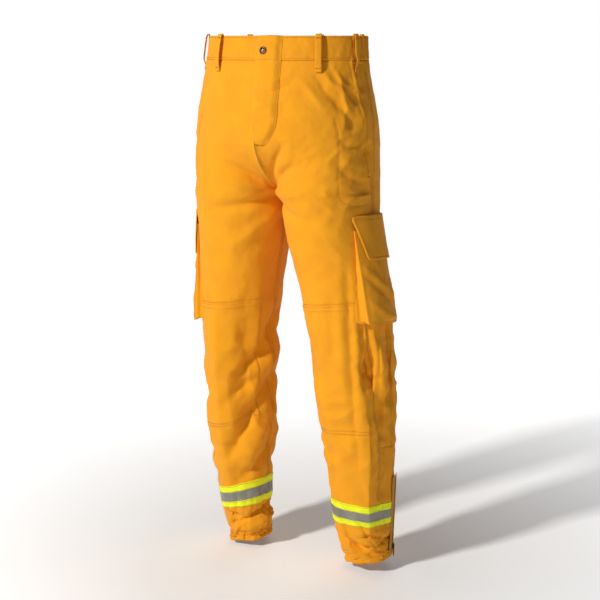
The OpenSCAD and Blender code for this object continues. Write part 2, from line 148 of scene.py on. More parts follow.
# ---- The grid: both legs as one welded cloth ----
class Grid:
    """Rows of points round both legs. Rows crowd together at the inseam below the rise."""

    def __init__(self, around, step):
        rise = 24.0
        hip = np.linspace(0, CROTCH - rise, round((CROTCH - rise) / step) + 1)
        crowd = 1 - np.linspace(0, 1, max(6, round(2 * rise / step)))[1:]
        leg = np.linspace(CROTCH, HEM, round((HEM - CROTCH) / step) + 1)[1:]
        self.crotch_row = len(hip) + len(crowd) - 1
        at_inseam = np.concatenate([hip, CROTCH - rise * crowd ** 1.6, leg])
        at_side = np.concatenate([np.linspace(0, CROTCH, self.crotch_row + 1), leg])
        self.u = np.linspace(0, 1, around + 1)
        even = np.sin(np.pi * self.u) ** 0.5
        self.depth = at_inseam[:, None] + (at_side - at_inseam)[:, None] * even
        self.rows, self.around = len(at_inseam), around
        self.points, self.index = self.weld()

    def weld(self):
        """One centre line above the crotch, one point at it, closed tubes below it."""
        uu = np.broadcast_to(self.u, self.depth.shape)
        index, points, count = {}, [], 0
        crotch = None
        for s in SIDES:
            own = body_point(s, uu.ravel(), self.depth.ravel()).reshape(*uu.shape, 3)
            idx = np.zeros(uu.shape, int)
            for i in range(self.rows):
                for j in range(self.around + 1):
                    edge = j in (0, self.around)
                    if i == self.crotch_row and edge and crotch is not None:
                        idx[i, j] = crotch
                    elif i < self.crotch_row and edge and s == -1:
                        idx[i, j] = index[1][i, j]
                    elif i > self.crotch_row and j == self.around:
                        idx[i, j] = idx[i, 0]
                    else:
                        idx[i, j] = count
                        points.append(own[i, j])
                        if i == self.crotch_row and edge:
                            crotch = count
                            points[-1] = own[i, j] * [0, 1, 1]
                        count += 1
            index[s] = idx
        return np.array(points), index

    def spread(self, values):
        """What a function gives for each side's grid, as one value per welded point."""
        per_side = {s: np.asarray(values(s)) for s in SIDES}
        shape = (-1, *per_side[1].shape[2:])
        out = np.zeros((len(self.points), *shape[1:]))
        for s, v in per_side.items():
            out[self.index[s].ravel()] = v.reshape(shape)
        return out

    def faces(self):
        out = []
        for s in SIDES:
            k = self.index[s]
            f = np.stack([k[:-1, :-1], k[1:, :-1], k[1:, 1:], k[:-1, 1:]], -1).reshape(-1, 4)
            out.append(f if s > 0 else f[:, ::-1])
        return np.concatenate(out)

    def normals(self, points):
        f = self.faces()
        p = points[f]
        n = np.cross(p[:, 2] - p[:, 0], p[:, 3] - p[:, 1])
        out = np.zeros_like(points)
        for k in range(4):
            np.add.at(out, f[:, k], n)
        return unit(out, 1e-12)


def cubic_weights(f):
    return np.stack([((2 - f) * f - 1) * f / 2, ((3 * f - 5) * f * f + 2) / 2,
                     ((4 - 3 * f) * f + 1) * f / 2, (f - 1) * f * f / 2], -1)


class Field:
    """Values on a grid's points, read smoothly at any (side, u, depth)."""
    PAD = 3

    def __init__(self, grid, values):
        n, pad = grid.around, self.PAD
        above = (np.arange(grid.rows) < grid.crotch_row)[:, None, None]
        self.around, self.tables = n, {}
        for s in SIDES:
            own, other = values[grid.index[s]], values[grid.index[-s]]
            low = np.where(above, other[:, pad:0:-1], own[:, n - pad:n])
            high = np.where(above, other[:, n - 1:n - 1 - pad:-1], own[:, 1:pad + 1])
            self.tables[s] = np.concatenate([low, own, high], 1)
        whole = np.arange(HEM + 1)
        self.row_at = np.stack([np.interp(whole, grid.depth[:, j], np.arange(grid.rows))
                                for j in range(n + 1)])

    def at(self, side, u, d):
        table, last = self.tables[side], self.around - 1e-6
        c = np.clip(u * self.around, 1e-6 - self.PAD + 1, self.around + self.PAD - 1)
        j = np.clip(c, 0, last).astype(int)
        f = np.clip(c, 0, last) - j
        k = np.clip(d, 0, HEM - 1e-6)
        i = k.astype(int)
        g = k - i
        r = ((1 - f) * ((1 - g) * self.row_at[j, i] + g * self.row_at[j, i + 1])
             + f * ((1 - g) * self.row_at[j + 1, i] + g * self.row_at[j + 1, i + 1]))
        i, c = np.minimum(r.astype(int), table.shape[0] - 2), c + self.PAD
        j = c.astype(int)
        wi, wj = cubic_weights(r - i), cubic_weights(c - j)
        out = 0
        for a in range(4):
            ii = np.clip(i + a - 1, 0, table.shape[0] - 1)
            for b in range(4):
                jj = np.clip(j + b - 1, 0, table.shape[1] - 1)
                out = out + (wi[..., a] * wj[..., b])[..., None] * table[ii, jj]
        return out


# The length that u = 0 to 1 covers, about, in millimetres: at the hips and on the whole
HIP_ROUND, MEAN_ROUND = 520.0, 450


def around_mm(d):
    """The length that u = 0 to 1 covers at a depth, about."""
    return np.where(np.asarray(d) < CROTCH, HIP_ROUND,
                    np.interp(d, [295, 620, 950, 1062], [600, 500, 360, 280]))


# ---- Folds, where tension pulls the cloth ----
# Each is a line of (u, depth) points, how far it stands out in millimetres (negative is a
# valley), its half width, and True where its top is sharp.
FOLDS = {
    -1: [([(0.262, 540), (0.258, 720), (0.255, 890)], 10.0, 26, True),
         ([(0.15, 540), (0.14, 640), (0.13, 740)], -7.0, 26),
         ([(-0.03, 560), (0.0, 586), (0.05, 633), (0.13, 653), (0.18, 668)], -9.0, 14),
         ([(-0.03, 630), (0.03, 668), (0.12, 690)], 4.5, 13),
         ([(0.04, 675), (0.12, 692), (0.19, 698), (0.24, 722)], -5.5, 12),
         ([(-0.02, 690), (0.028, 708), (0.076, 734), (0.129, 761), (0.185, 791), (0.245, 834)],
          -10.0, 14),
         ([(-0.06, 740), (0.02, 775), (0.09, 812), (0.16, 850)], 5.0, 15),
         ([(-0.04, 820), (0.03, 846), (0.1, 872), (0.21, 893)], -7.0, 11),
         ([(-0.1, 962), (-0.02, 966), (0.1, 978), (0.2, 989), (0.3, 998)], -9.0, 8, True),
         ([(-0.08, 985), (0.06, 1004), (0.2, 1018)], 4.0, 9),
         ([(0.38, 962), (0.31, 968), (0.24, 980)], -4.5, 7),
         ([(0.44, 690), (0.38, 700), (0.33, 705)], -4.0, 12),
         ([(0.47, 800), (0.4, 815), (0.34, 822)], -5.0, 12),
         ([(0.47, 870), (0.38, 872)], -4.0, 10),
         ([(0.2, 235), (0.12, 255), (0.04, 280)], -4.5, 10),
         ([(0.28, 262), (0.16, 278), (0.04, 292)], 4.0, 11),
         ([(0.27, 330), (0.14, 318), (0.02, 302)], -5.0, 11),
         ([(0.2, 400), (0.1, 360), (0.0, 325)], 4.0, 13)],
    1: [([(0.345, 700), (0.35, 830), (0.352, 975)], 9.0, 24, True),
        ([(0.44, 720), (0.445, 820), (0.44, 900)], -4.0, 22),
        ([(0.352, 960), (0.36, 1010)], 3.5, 12, True),
        ([(0.37, 575), (0.385, 615), (0.372, 655), (0.40, 693), (0.42, 732), (0.428, 775)],
         -8.0, 13),
        ([(0.34, 640), (0.36, 660), (0.39, 668), (0.43, 660)], -5.0, 9),
        ([(0.43, 600), (0.45, 660), (0.455, 720)], 5.0, 14),
        ([(0.48, 590), (0.5, 650), (0.49, 720)], -6.0, 13),
        ([(0.08, 600), (0.14, 640), (0.21, 668)], -2.5, 12),
        ([(0.09, 640), (0.16, 700), (0.22, 720)], 2.0, 14),
        ([(0.30, 985), (0.35, 978), (0.42, 990)], -6.0, 8),
        ([(0.22, 1000), (0.30, 1018), (0.36, 1012)], -5.0, 8),
        ([(0.1, 975), (0.18, 992), (0.26, 1008)], -5.0, 9),
        ([(0.42, 1010), (0.48, 1000), (0.54, 1008)], -6.0, 7),
        ([(0.24, 62), (0.28, 84), (0.34, 104), (0.4, 132)], 2.6, 8),
        ([(0.22, 76), (0.27, 108), (0.33, 134), (0.37, 172)], -2.8, 8),
        ([(0.16, 80), (0.2, 102), (0.25, 134)], 2.2, 8),
        ([(0.01, 88), (0.07, 82), (0.13, 70)], 1.3, 5),
        ([(0.01, 104), (0.06, 100), (0.12, 92)], -1.5, 5),
        ([(0.0, 128), (0.05, 124), (0.1, 118)], 1.3, 5),
        ([(0.0, 150), (0.05, 150), (0.11, 140)], -1.6, 6),
        ([(0.31, 185), (0.36, 202), (0.44, 208)], -1.9, 6),
        ([(0.33, 212), (0.38, 232), (0.45, 244)], 1.5, 7),
        ([(0.34, 236), (0.40, 262), (0.47, 272)], -2.0, 6),
        ([(0.36, 270), (0.42, 288), (0.48, 298)], 1.4, 6),
        ([(0.3, 60), (0.33, 84), (0.4, 100)], 2.2, 6),
        ([(0.42, 185), (0.45, 215), (0.455, 250)], -2.4, 6),
        ([(0.1, 205), (0.06, 240), (0.02, 268)], -3.0, 8),
        ([(0.2, 235), (0.12, 255), (0.04, 280)], -4.0, 10),
        ([(0.24, 290), (0.14, 292), (0.04, 296)], 4.0, 11),
        ([(0.25, 345), (0.14, 325), (0.02, 305)], -5.0, 11)]}
FOLD_DEPTH = 1.6
# Folds that both legs have at the back: under the seat and behind the knees
BACK_FOLDS = [([(0.97, 300), (0.85, 318), (0.7, 322)], -5.0, 11),
              ([(0.98, 330), (0.86, 352), (0.74, 352)], 4.0, 12),
              ([(0.97, 262), (0.86, 282), (0.76, 280)], -3.5, 12),
              ([(0.93, 600), (0.8, 622), (0.64, 612)], -7.0, 12),
              ([(0.95, 640), (0.82, 652), (0.68, 660)], 5.0, 13),
              ([(0.92, 690), (0.8, 684), (0.64, 676)], -7.0, 12),
              ([(0.9, 740), (0.76, 728), (0.62, 742)], -5.0, 13),
              ([(0.95, 820), (0.84, 800), (0.7, 810)], 4.0, 14),
              ([(0.96, 868), (0.8, 876), (0.62, 862)], -5.0, 10),
              ([(0.95, 980), (0.8, 972), (0.6, 984)], -6.0, 8),
              ([(0.92, 1016), (0.76, 1008), (0.6, 1020)], -5.0, 7)]


def from_segment(u, d, start, end, scale=1.0):
    """Distance to a straight line in (u, depth), and the share of it passed."""
    du, dd = (u - start[0]) * scale, d - start[1]
    eu, ed = (end[0] - start[0]) * scale, end[1] - start[1]
    t = np.clip((du * eu + dd * ed) / (eu * eu + ed * ed), 0, 1)
    return np.hypot(du - t * eu, dd - t * ed), t


def from_line(line, u, d):
    """Distance in millimetres to a line of (u, depth) points, and the place along it, 0 to 1."""
    best, place = np.full(np.shape(u), 1e9), np.zeros(np.shape(u))
    total = len(line) - 1
    for k, (start, end) in enumerate(zip(line, line[1:])):
        # A line near u = 0 also reaches back over the inseam or centre
        for turn in ((0, 1) if min(start[0], end[0]) < 0.12 else (0,)):
            r, t = from_segment(u - turn, d, start, end, around_mm(d))
            near = r < best
            place = np.where(near, (k + t) / total, place)
            best = np.where(near, r, best)
    return best, place


def fold_height(side, u, d):
    """How far the folds push the cloth outward at (u, depth), in millimetres."""
    height = np.zeros(np.shape(u))
    for line, amount, width, *sharp in FOLDS[side] + BACK_FOLDS:
        r, place = from_line(line, u, d)
        profile = np.exp(-r / width) if sharp else np.exp(-(r / width) ** 2)
        height += FOLD_DEPTH * amount * profile * np.sin(np.pi * np.clip(place, 0.06, 0.94)) ** 0.5
    return height


def wrinkle(x, y, seed):
    """Soft waves with no plain repeat, between about -1 and 1. x and y are in millimetres."""
    rng = np.random.default_rng(seed)
    out = 0
    for k in range(9):
        turn, length = rng.uniform(0, math.pi), rng.uniform(0.6, 1.7)
        out = out + np.sin((x * math.cos(turn) + y * math.sin(turn)) / length
                           + rng.uniform(0, 6) + 1.3 * np.sin(y / 2.1 / length + k)) / 9
    return 2.2 * out


# ---- Seams ----
CENTRE_SEAM = [(0.0, 200), (0.0, 288)]
POCKET_EDGE = [(0.405, 47), (0.446, 165), (0.478, 258)]
# Per side, or None for both: a line, its pucker in millimetres, and whether it is sewn twice
SEAMS = [
    (None, [(0.5, 47), (0.5, 1040)], 0.5, True),
    (None, [(1.0, 60), (1.0, 285)], 0.4, True),
    (None, [(0.0, 305), (0.0, 1040)], 0.5, True),
    (None, CENTRE_SEAM, 0.5, False),
    (None, POCKET_EDGE, 0.7, True),
    (None, [(0.28, 148), (0.31, 181), (0.345, 235), (0.37, 303)], 0.9, False),
    (None, [(0.37, 303), (0.42, 318), (0.49, 316)], 0.6, False),
    (None, [(0.075, 523), (0.39, 523)], 0.5, True),
    (None, [(0.39, 523), (0.39, 762)], 0.4, False),
    (None, [(0.075, 762), (0.39, 762)], 0.5, True),
    (None, [(0.075, 523), (0.075, 762)], 0.4, False),
    (1, [(0.41, 760), (0.412, 830), (0.41, 895)], 1.4, True),
    (1, [(0.352, 738), (0.42, 738)], 0.4, False),
    (-1, [(0.412, 790), (0.41, 895)], 1.0, True),
    (None, [(0.6, 60), (0.64, 96), (0.74, 108), (0.86, 100), (0.99, 84)], 0.5, True)]


def seam_height(side, u, d):
    """The groove that each line of stitches pulls, and the puckers beside it."""
    height = np.zeros(np.shape(u))
    for only, line, pucker, twice in SEAMS:
        if only in (None, side):
            r, place = from_line(line, u, d)
            length = sum(math.hypot((b[0] - a[0]) * MEAN_ROUND, b[1] - a[1])
                         for a, b in zip(line, line[1:]))
            run = place * length
            waves = np.sin(run / 2.3 + 2 * np.sin(run / 21)) + 0.6 * np.sin(run / 5.1 + 1)
            ends = smooth(np.minimum(place, 1 - place) * length, 0, 12)
            height -= (1.4 if twice else 1.0) * np.exp(-(r / 2.4) ** 2) * ends
            height += pucker * waves * np.exp(-(r / 8) ** 2) * ends * 0.5
    return height


def crumple_share(u, d):
    """How deep the cloth is crumpled, in millimetres: most at the pocket bags and shins."""
    bags = smooth(u, 0.26, 0.34) * (1 - smooth(u, 0.46, 0.5)) * smooth(d, 60, 110)
    bags = bags * (1 - smooth(d, 290, 350))
    shins = smooth(d, 560, 650) * (1 - smooth(d, 870, 898)) + smooth(d, 955, 975)
    seat = smooth(u, 0.6, 0.75) * smooth(d, 250, 300) * (1 - smooth(d, 330, 420))
    plain = smooth(d, 60, 90) * (1 - smooth(d, 880, 898))
    return 0.6 * plain + 1.9 * bags + 1.5 * shins + 1.2 * seat


def pocket_edge(d):
    """Where the slanted pocket's mouth is at a depth, in u."""
    return np.interp(d, [p[1] for p in POCKET_EDGE], [p[0] for p in POCKET_EDGE])


def fine_height(side, u, d):
    """Seams, the slant pocket's step, the elastic's gathers and small wrinkles (mm)."""
    x = u * around_mm(d)
    h = seam_height(side, u, d)
    edge = pocket_edge(d)
    inside = smooth((u - edge) * around_mm(d), -1, 3) * smooth(0.5 - u, 0.0, 0.012)
    h -= 2.1 * inside * smooth(d, 45, 52) * (1 - smooth(d, 235, 262))
    r, _ = from_line(POCKET_EDGE, u, d)
    h += 1.9 * np.exp(-((r - 4) / 3.5) ** 2) * (u < edge)
    gathers = smooth(u, 0.41, 0.45) * (1 - smooth(u, 0.62, 0.66))
    gathers = gathers * smooth(d, -5, 3) * (1 - smooth(d, 50, 78))
    h += gathers * (1.1 * np.sin(x / 1.15 + 0.8 * np.sin(d / 9)) + 0.5 * np.sin(x / 2.9 + d / 14))
    soft = 0.25 + 0.75 * smooth(d, 60, 260)
    h += 0.8 * soft * wrinkle(x / 9, d / 11, 5 + side) + 0.3 * wrinkle(x / 3.6, d / 4.2, 11 + side)
    h += crumple_share(u, d) * (1 - 2.2 * np.abs(wrinkle(x / 13, d / 15, 51 + side)))
    hem = smooth(d, 1000, 1040)
    h += hem * (1.1 * wrinkle(x / 4.5, d / 14, 21 + side))
    return h * smooth(d, -1, 4)


# ---- The cloth: draped, then folded and sewn ----
DRAPE_FRAMES = 32
# How much of the simulation's downward move is kept, and the most it moves a point, in metres
DRAPE_DOWN, DRAPE_CAP = 0.35, 0.014


def simulated_move(grid):
    """How far gravity and the extra cloth move each point of the grid, in metres."""
    base = grid.points
    depth = grid.spread(lambda s: grid.depth)
    out = grid.normals(base)
    middle = np.abs(base[:, 0]) < 1e-6

    def pushed(gap):
        moved = base + out * gap[:, None] * MM
        moved[middle, 0] = 0
        return moved

    # The cut is longer than the worn shape where the cloth bags and bunches
    fine = np.linspace(0, HEM, 400)
    longer = np.interp(fine, [0, 300, 420, 560, 760, 880, 900, 950, 965, 1062],
                       [1, 1, 1, 1.05, 1.09, 1.05, 1, 1, 1.2, 1.25])
    fall = np.concatenate([[0], np.cumsum((longer[1:] + longer[:-1]) / 2 * np.diff(fine))])
    wider = np.interp(depth, [0, 100, 300, 560, 760, 880, 900, 950, 1062],
                      [0, 0, 0, 3, 5, 3, 1, 1, 5])
    cut = pushed(wider)
    cut[:, 2] -= (np.interp(depth, fine, fall) - depth) * MM
    cloth = mesh_object("drape", base, grid.faces())
    cloth.shape_key_add(name="Basis")
    key = cloth.shape_key_add(name="cut")
    key.data.foreach_set("co", cut.ravel())
    key.value = 0.0
    room = np.interp(depth, [0, 60, 250, 500, 800, 900, 950, 1062], [3, 4, 5, 9, 17, 9, 9, 9])
    wearer = mesh_object("wearer", pushed(-room), grid.faces())
    wearer.modifiers.new("hit", "COLLISION")
    wearer.collision.thickness_outer = 0.002
    wearer.collision.cloth_friction = 8
    pins = cloth.vertex_groups.new(name="pins")
    held = np.maximum(1 - smooth(depth, 270, 420), 0.9 * smooth(depth, 1045, 1062))
    for v in np.flatnonzero(held > 0):
        pins.add([int(v)], float(held[v]), "REPLACE")
    mod = cloth.modifiers.new("cloth", "CLOTH")
    st = mod.settings
    st.quality = 5
    st.mass = 0.25
    st.tension_stiffness = st.compression_stiffness = 20
    st.shear_stiffness = 8
    st.bending_stiffness = 0.8
    st.tension_damping = st.compression_damping = st.shear_damping = 10
    st.bending_damping = 0.6
    st.air_damping = 2
    st.vertex_group_mass = "pins"
    st.rest_shape_key = key
    mod.collision_settings.distance_min = 0.002
    mod.collision_settings.use_self_collision = False
    mod.collision_settings.collision_quality = 2
    mod.point_cache.frame_start, mod.point_cache.frame_end = 1, DRAPE_FRAMES
    scene = bpy.context.scene
    for f in range(1, DRAPE_FRAMES + 1):
        scene.frame_set(f)
    shown = cloth.evaluated_get(bpy.context.evaluated_depsgraph_get()).to_mesh()
    co = np.zeros(len(shown.vertices) * 3)
    shown.vertices.foreach_get("co", co)
    scene.frame_set(1)
    bpy.data.objects.remove(wearer)
    bpy.data.objects.remove(cloth)
    move = (co.reshape(-1, 3) - base) * [1, 1, DRAPE_DOWN]
    size = np.linalg.norm(move, axis=1, keepdims=True)
    return move * np.minimum(1, DRAPE_CAP / np.maximum(size, 1e-9))


# ---- The leg zips are straight and hold the cloth straight beside them ----
ZIP_U = 14.5 / 28
LEG_ZIP_LOW, LEG_ZIP_L, LEG_ZIP_OUT = 1042, 165, 4.0
# How far the cloth is inward of the zip's middle
LEG_ZIP_ABOVE = 2.2


def cad_skin(side, u, d, out):
    """A point of the CAD's smooth surface, raised outward, in millimetres."""
    e = 0.004
    p, a, b = (body_point(side, np.array([v]), np.array([float(d)]))[0] / MM
               for v in (u, u - e, u + e))
    t = b - a
    n = side * np.array([t[1], -t[0], 0]) / math.hypot(t[0], t[1])
    q = p + out * n
    q[2] = tilt_rise(side, q, d) - d
    return q, n


def held_straight(side, field):
    """How far the zip moves the fine grid's points, in metres."""
    (low, n), (high, _) = (cad_skin(side, ZIP_U, at, LEG_ZIP_OUT - LEG_ZIP_ABOVE)
                           for at in (LEG_ZIP_LOW, LEG_ZIP_LOW - LEG_ZIP_L))
    low, high = low * MM, high * MM
    d = fine_grid.depth
    share = np.clip((LEG_ZIP_LOW - d) / LEG_ZIP_L, -0.12, 1.0)
    line = low + share[..., None] * (high - low)
    now = field.at(side, np.full(d.shape, ZIP_U), d)
    sideways = (line - now) @ n
    near = np.exp(-((uu - ZIP_U) * around_mm(d) / 17) ** 2)
    near = near * smooth(d, LEG_ZIP_LOW - LEG_ZIP_L - 70, LEG_ZIP_LOW - LEG_ZIP_L)
    return (sideways * near)[..., None] * n


def full_name(name, side):
    """A name that starts with _ gets its side's word in front."""
    return SIDES[side] + name if name.startswith("_") else name


def mesh_object(name, points, faces):
    me = bpy.data.meshes.new(name)
    me.from_pydata(np.asarray(points).tolist(), [], [list(map(int, f)) for f in faces])
    me.polygons.foreach_set("use_smooth", np.ones(len(me.polygons), bool))
    ob = bpy.data.objects.new(name, me)
    bpy.context.scene.collection.objects.link(ob)
    return ob


coarse = Grid(84, 6.0)
fine_grid = Grid(208, 3.2)
uu = np.broadcast_to(fine_grid.u, fine_grid.depth.shape)
moves = Field(coarse, simulated_move(coarse))
draped = fine_grid.points + fine_grid.spread(lambda s: moves.at(s, uu, fine_grid.depth))
for heights in (fold_height, fine_height):
    h = fine_grid.spread(lambda s: heights(s, uu, fine_grid.depth))
    step = fine_grid.normals(draped) * h[:, None] * MM
    step[np.abs(fine_grid.points[:, 0]) < 1e-6, 0] = 0
    draped = draped + step
loose = Field(fine_grid, draped)
draped = draped + fine_grid.spread(lambda s: held_straight(s, loose))
SURFACE = Field(fine_grid, draped)
NORMAL = Field(fine_grid, fine_grid.normals(draped))


def skin_normal(side, u, d):
    return unit(NORMAL.at(side, *arrays(u, d)))


def skin(side, u, d, out=0.0):
    """Points of the cloth's outer face at (u, depth), raised outward by out millimetres."""
    u, d, out = arrays(u, d, out)
    p = SURFACE.at(side, u, d) + skin_normal(side, u, d) * out[..., None] * MM
    p[..., 2] -= np.minimum(d, 0) * MM
    return p


# ---- Building pieces ----
def slab(name, outer, inner, mat, flip=False, keep=None, lengthways=False):
    """A closed sheet between two grids of points. Cells that keep leaves out are holes."""
    rows, cols = outer.shape[:2]
    n = rows * cols
    at = np.arange(n).reshape(rows, cols)
    if keep is None:
        keep = np.ones((rows - 1, cols - 1), bool)
    ring = np.pad(keep, 1)
    a, b, c, d = at[:-1, :-1], at[1:, :-1], at[1:, 1:], at[:-1, 1:]
    quads = np.stack([a, b, c, d], -1)[keep]
    faces = [quads, quads[:, ::-1] + n]
    beside = ((a, b, ring[1:-1, :-2]), (b, c, ring[2:, 1:-1]),
              (c, d, ring[1:-1, 2:]), (d, a, ring[:-2, 1:-1]))
    for p, q, near in beside:
        m = keep & ~near
        faces.append(np.stack([q[m], p[m], p[m] + n, q[m] + n], -1))
    faces = np.concatenate(faces)
    if flip:
        faces = faces[:, ::-1]
    points = np.concatenate([outer.reshape(-1, 3), inner.reshape(-1, 3)])
    across = np.linalg.norm(np.diff(outer, axis=1), axis=2).mean(0)
    along = np.linalg.norm(np.diff(outer, axis=0), axis=2).mean(1)
    uv = np.stack(np.meshgrid(np.concatenate([[0], np.cumsum(across)]),
                              np.concatenate([[0], np.cumsum(along)])), -1).reshape(-1, 2)
    if lengthways:
        uv = uv[:, ::-1]
    uv = np.concatenate([uv, uv])
    used, inverse = np.unique(faces, return_inverse=True)
    ob = mesh_object(name, points[used], inverse.reshape(-1, 4))
    layer = ob.data.uv_layers.new(name="cloth")
    layer.data.foreach_set("uv", uv[used][inverse.reshape(-1)].ravel())
    ob.data.materials.append(mat)
    ob["flat_area"] = float(across.sum() * along.sum() * keep.mean())
    ob["flat_size"] = (float(across.sum()), float(along.sum()))
    return ob


def spaced(low, high, step, edge):
    """Places from low to high, with two more close to each end for a rounded edge."""
    t = np.linspace(low, high, max(3, round(abs(high - low) / step) + 1))
    return np.sort(np.concatenate([t[:1], t[:1] + edge * 0.3, t[:1] + edge, t[1:-1],
                                   t[-1:] - edge, t[-1:] - edge * 0.3, t[-1:]]))


def patch_grid(u0, u1, d0, d1, step=3.0, edge=1.5):
    width = float(around_mm((d0 + d1) / 2))
    us = spaced(u0 * width, u1 * width, step, edge) / width
    ds = spaced(d0, d1, step, edge)
    near = np.minimum.outer(np.minimum(ds - d0, d1 - ds), np.minimum(us - u0, u1 - us) * width)
    return *np.meshgrid(us, ds), np.sqrt(np.clip(near / edge, 0, 1))


def patch(name, side, span, low, high, mat, step=3.0, edge=1.5, shape=None, extra=None,
          under=None):
    """A piece of cloth on the trousers: span is u and depth, low and high its offsets in mm.

    extra raises its outer face, and under raises all of it over another piece."""
    u, d, lift = patch_grid(*span, step, edge)
    if shape:
        u, d = shape(u, d)
    low = low + (under(u, d) if under else 0 * u)
    rise = low + (high - low.min()) * (0.2 + 0.8 * lift)
    if extra is not None:
        rise = rise + extra(u, d) * lift
    return slab(full_name(name, side), skin(side, u, d, rise), skin(side, u, d, low), mat,
                flip=side < 0)


def lathe(name, profile, centre, axis, mat, turns=40):
    """A turned piece: profile is (radius, height) in millimetres, along axis from centre."""
    axis = Vector(axis).normalized()
    side = axis.orthogonal().normalized()
    up = axis.cross(side)
    ring = [side * math.cos(t) + up * math.sin(t)
            for t in np.linspace(0, 2 * math.pi, turns, endpoint=False)]
    points = [Vector(centre) + axis * profile[0][1] * MM]
    for r, h in profile[1:-1]:
        points += [Vector(centre) + (v * r + axis * h) * MM for v in ring]
    points.append(Vector(centre) + axis * profile[-1][1] * MM)
    rows = len(profile) - 2
    faces = [(0, 1 + (j + 1) % turns, 1 + j) for j in range(turns)]
    for i in range(rows - 1):
        for j in range(turns):
            a, b = 1 + i * turns + j, 1 + i * turns + (j + 1) % turns
            faces.append((a, b, b + turns, a + turns))
    last, base = len(points) - 1, 1 + (rows - 1) * turns
    faces += [(last, base + j, base + (j + 1) % turns) for j in range(turns)]
    ob = mesh_object(name, [tuple(p) for p in points], faces)
    ob.data.materials.append(mat)
    return ob


STITCH = 3.3


def stitch_line(points, normals):
    """Even steps along a line of points, with the normal at each: rows of point and normal."""
    gone = np.concatenate([[0], np.cumsum(np.linalg.norm(np.diff(points, axis=0), axis=1))])
    at = np.arange(0, gone[-1], STITCH * MM)
    return np.stack([np.interp(at, gone, v[:, k]) for v in (points, normals) for k in range(3)], 1)


def in_steps(line, scale=1.0):
    """A line of (u, depth) points, in steps of about 3 mm. One in u is scale millimetres."""
    u, d = np.array(line, float).T
    gone = np.concatenate([[0], np.cumsum(np.hypot(np.diff(u) * scale, np.diff(d)))])
    at = np.linspace(0, gone[-1], max(4, round(gone[-1] / 3)))
    return np.interp(at, gone, u), np.interp(at, gone, d)


def sewn(side, line, out, twice=False):
    """Stitch lines along a line of (u, depth) points on the cloth, one or two side by side."""
    u, d = in_steps(line, MEAN_ROUND)
    du, dd = np.gradient(u) * MEAN_ROUND, np.gradient(d)
    size = np.maximum(np.hypot(du, dd), 1e-9)
    lines = []
    for off in ((-3, 3) if twice else (0,)):
        uo, do = u - off * dd / size / MEAN_ROUND, d + off * du / size
        lines.append(stitch_line(skin(side, uo, do, out), skin_normal(side, uo, do)))
    return lines


def thread(name, lines, radius=0.36):
    """One mesh of short stitches that dip into the cloth at both ends."""
    start = np.concatenate([v[:-1] for v in lines])
    end = np.concatenate([v[1:] for v in lines])
    a, n = start[:, :3], start[:, 3:]
    b = a + (end[:, :3] - a) * 0.78
    across = np.cross(unit(b - a), n)
    r = radius * MM
    verts = [a - n * r]
    for t in (0.22, 0.78):
        mid = a + (b - a) * t + n * r * 0.3
        verts += [mid + n * r, mid + across * r, mid - n * r, mid - across * r]
    verts.append(b - n * r)
    points = np.stack(verts, 1)
    faces = [(0, 1, 2), (0, 2, 3), (0, 3, 4), (0, 4, 1)]
    faces += [(1 + k, 5 + k, 5 + (k + 1) % 4, 1 + (k + 1) % 4) for k in range(4)]
    faces += [(9, 6, 5), (9, 7, 6), (9, 8, 7), (9, 5, 8)]
    many = [[10 * i + v for v in f] for i in range(len(a)) for f in faces]
    ob = mesh_object(name, points.reshape(-1, 3), many)
    ob.data.materials.append(THREAD_PAINTED_SHADE)
    return ob


# ---- Materials ----
class Shader:
    """A material's nodes, with short names for the links that repeat."""

    def __init__(self, name, rough=0.85, metallic=0.0, sheen=0.0, specular=0.35):
        self.material = bpy.data.materials.new(name)
        self.material.use_nodes = True
        self.tree = self.material.node_tree
        self.main = self.tree.nodes["Principled BSDF"]
        self.main.inputs["Roughness"].default_value = rough
        self.main.inputs["Metallic"].default_value = metallic
        self.main.inputs["Sheen Weight"].default_value = sheen
        self.main.inputs["Sheen Roughness"].default_value = 0.5
        self.main.inputs["Specular IOR Level"].default_value = specular
        self.solid = self.node("TexCoord").outputs["Object"]

    def node(self, kind, settings=(), **inputs):
        n = self.tree.nodes.new("ShaderNode" + kind)
        for key, value in dict(settings).items():
            setattr(n, key, value)
        for key, value in inputs.items():
            socket = n.inputs[int(key[1:]) if key in ("i0", "i1") else key]
            if isinstance(value, bpy.types.NodeSocket):
                self.tree.links.new(value, socket)
            else:
                socket.default_value = value
        return n

    def link(self, source, target):
        self.tree.links.new(source, self.main.inputs[target])

    def cloth_uv(self):
        return self.node("UVMap", settings={"uv_map": "cloth"}).outputs["UV"]

    def noise(self, scale, detail):
        return self.node("TexNoise", Scale=scale, Detail=detail, Roughness=0.5,
                         Vector=self.solid).outputs["Fac"]

    def cells(self, scale):
        return self.node("TexVoronoi", Scale=scale, Vector=self.solid).outputs["Distance"]

    def ramp(self, value, *stops):
        """Two places with a colour or a grey each."""
        n = self.node("ValToRGB", Fac=value)
        for e, (place, colour) in zip(n.color_ramp.elements, stops):
            e.position = place
            e.color = (*(colour if isinstance(colour, tuple) else (colour,) * 3), 1)
        return n.outputs["Color"]

    def bump(self, strength, distance, height, **more):
        """Links a bump to the surface's normal, over an earlier one if that is given."""
        n = self.node("Bump", Strength=strength, Distance=distance, Height=height, **more)
        self.link(n.outputs[0], "Normal")
        return n.outputs[0]

    def multiplied(self, share, a, b):
        n = self.node("MixRGB", settings={"blend_type": "MULTIPLY"}, Fac=share, Color1=a, Color2=b)
        return n.outputs["Color"]

    def maths(self, kind, a, b):
        return self.node("Math", settings={"operation": kind}, i0=a, i1=b).outputs[0]


def wave_scale(pitch_mm):
    """A Wave texture has one band in 2 pi / 20 of its own units."""
    return 2 * math.pi / 20 / (pitch_mm * MM)


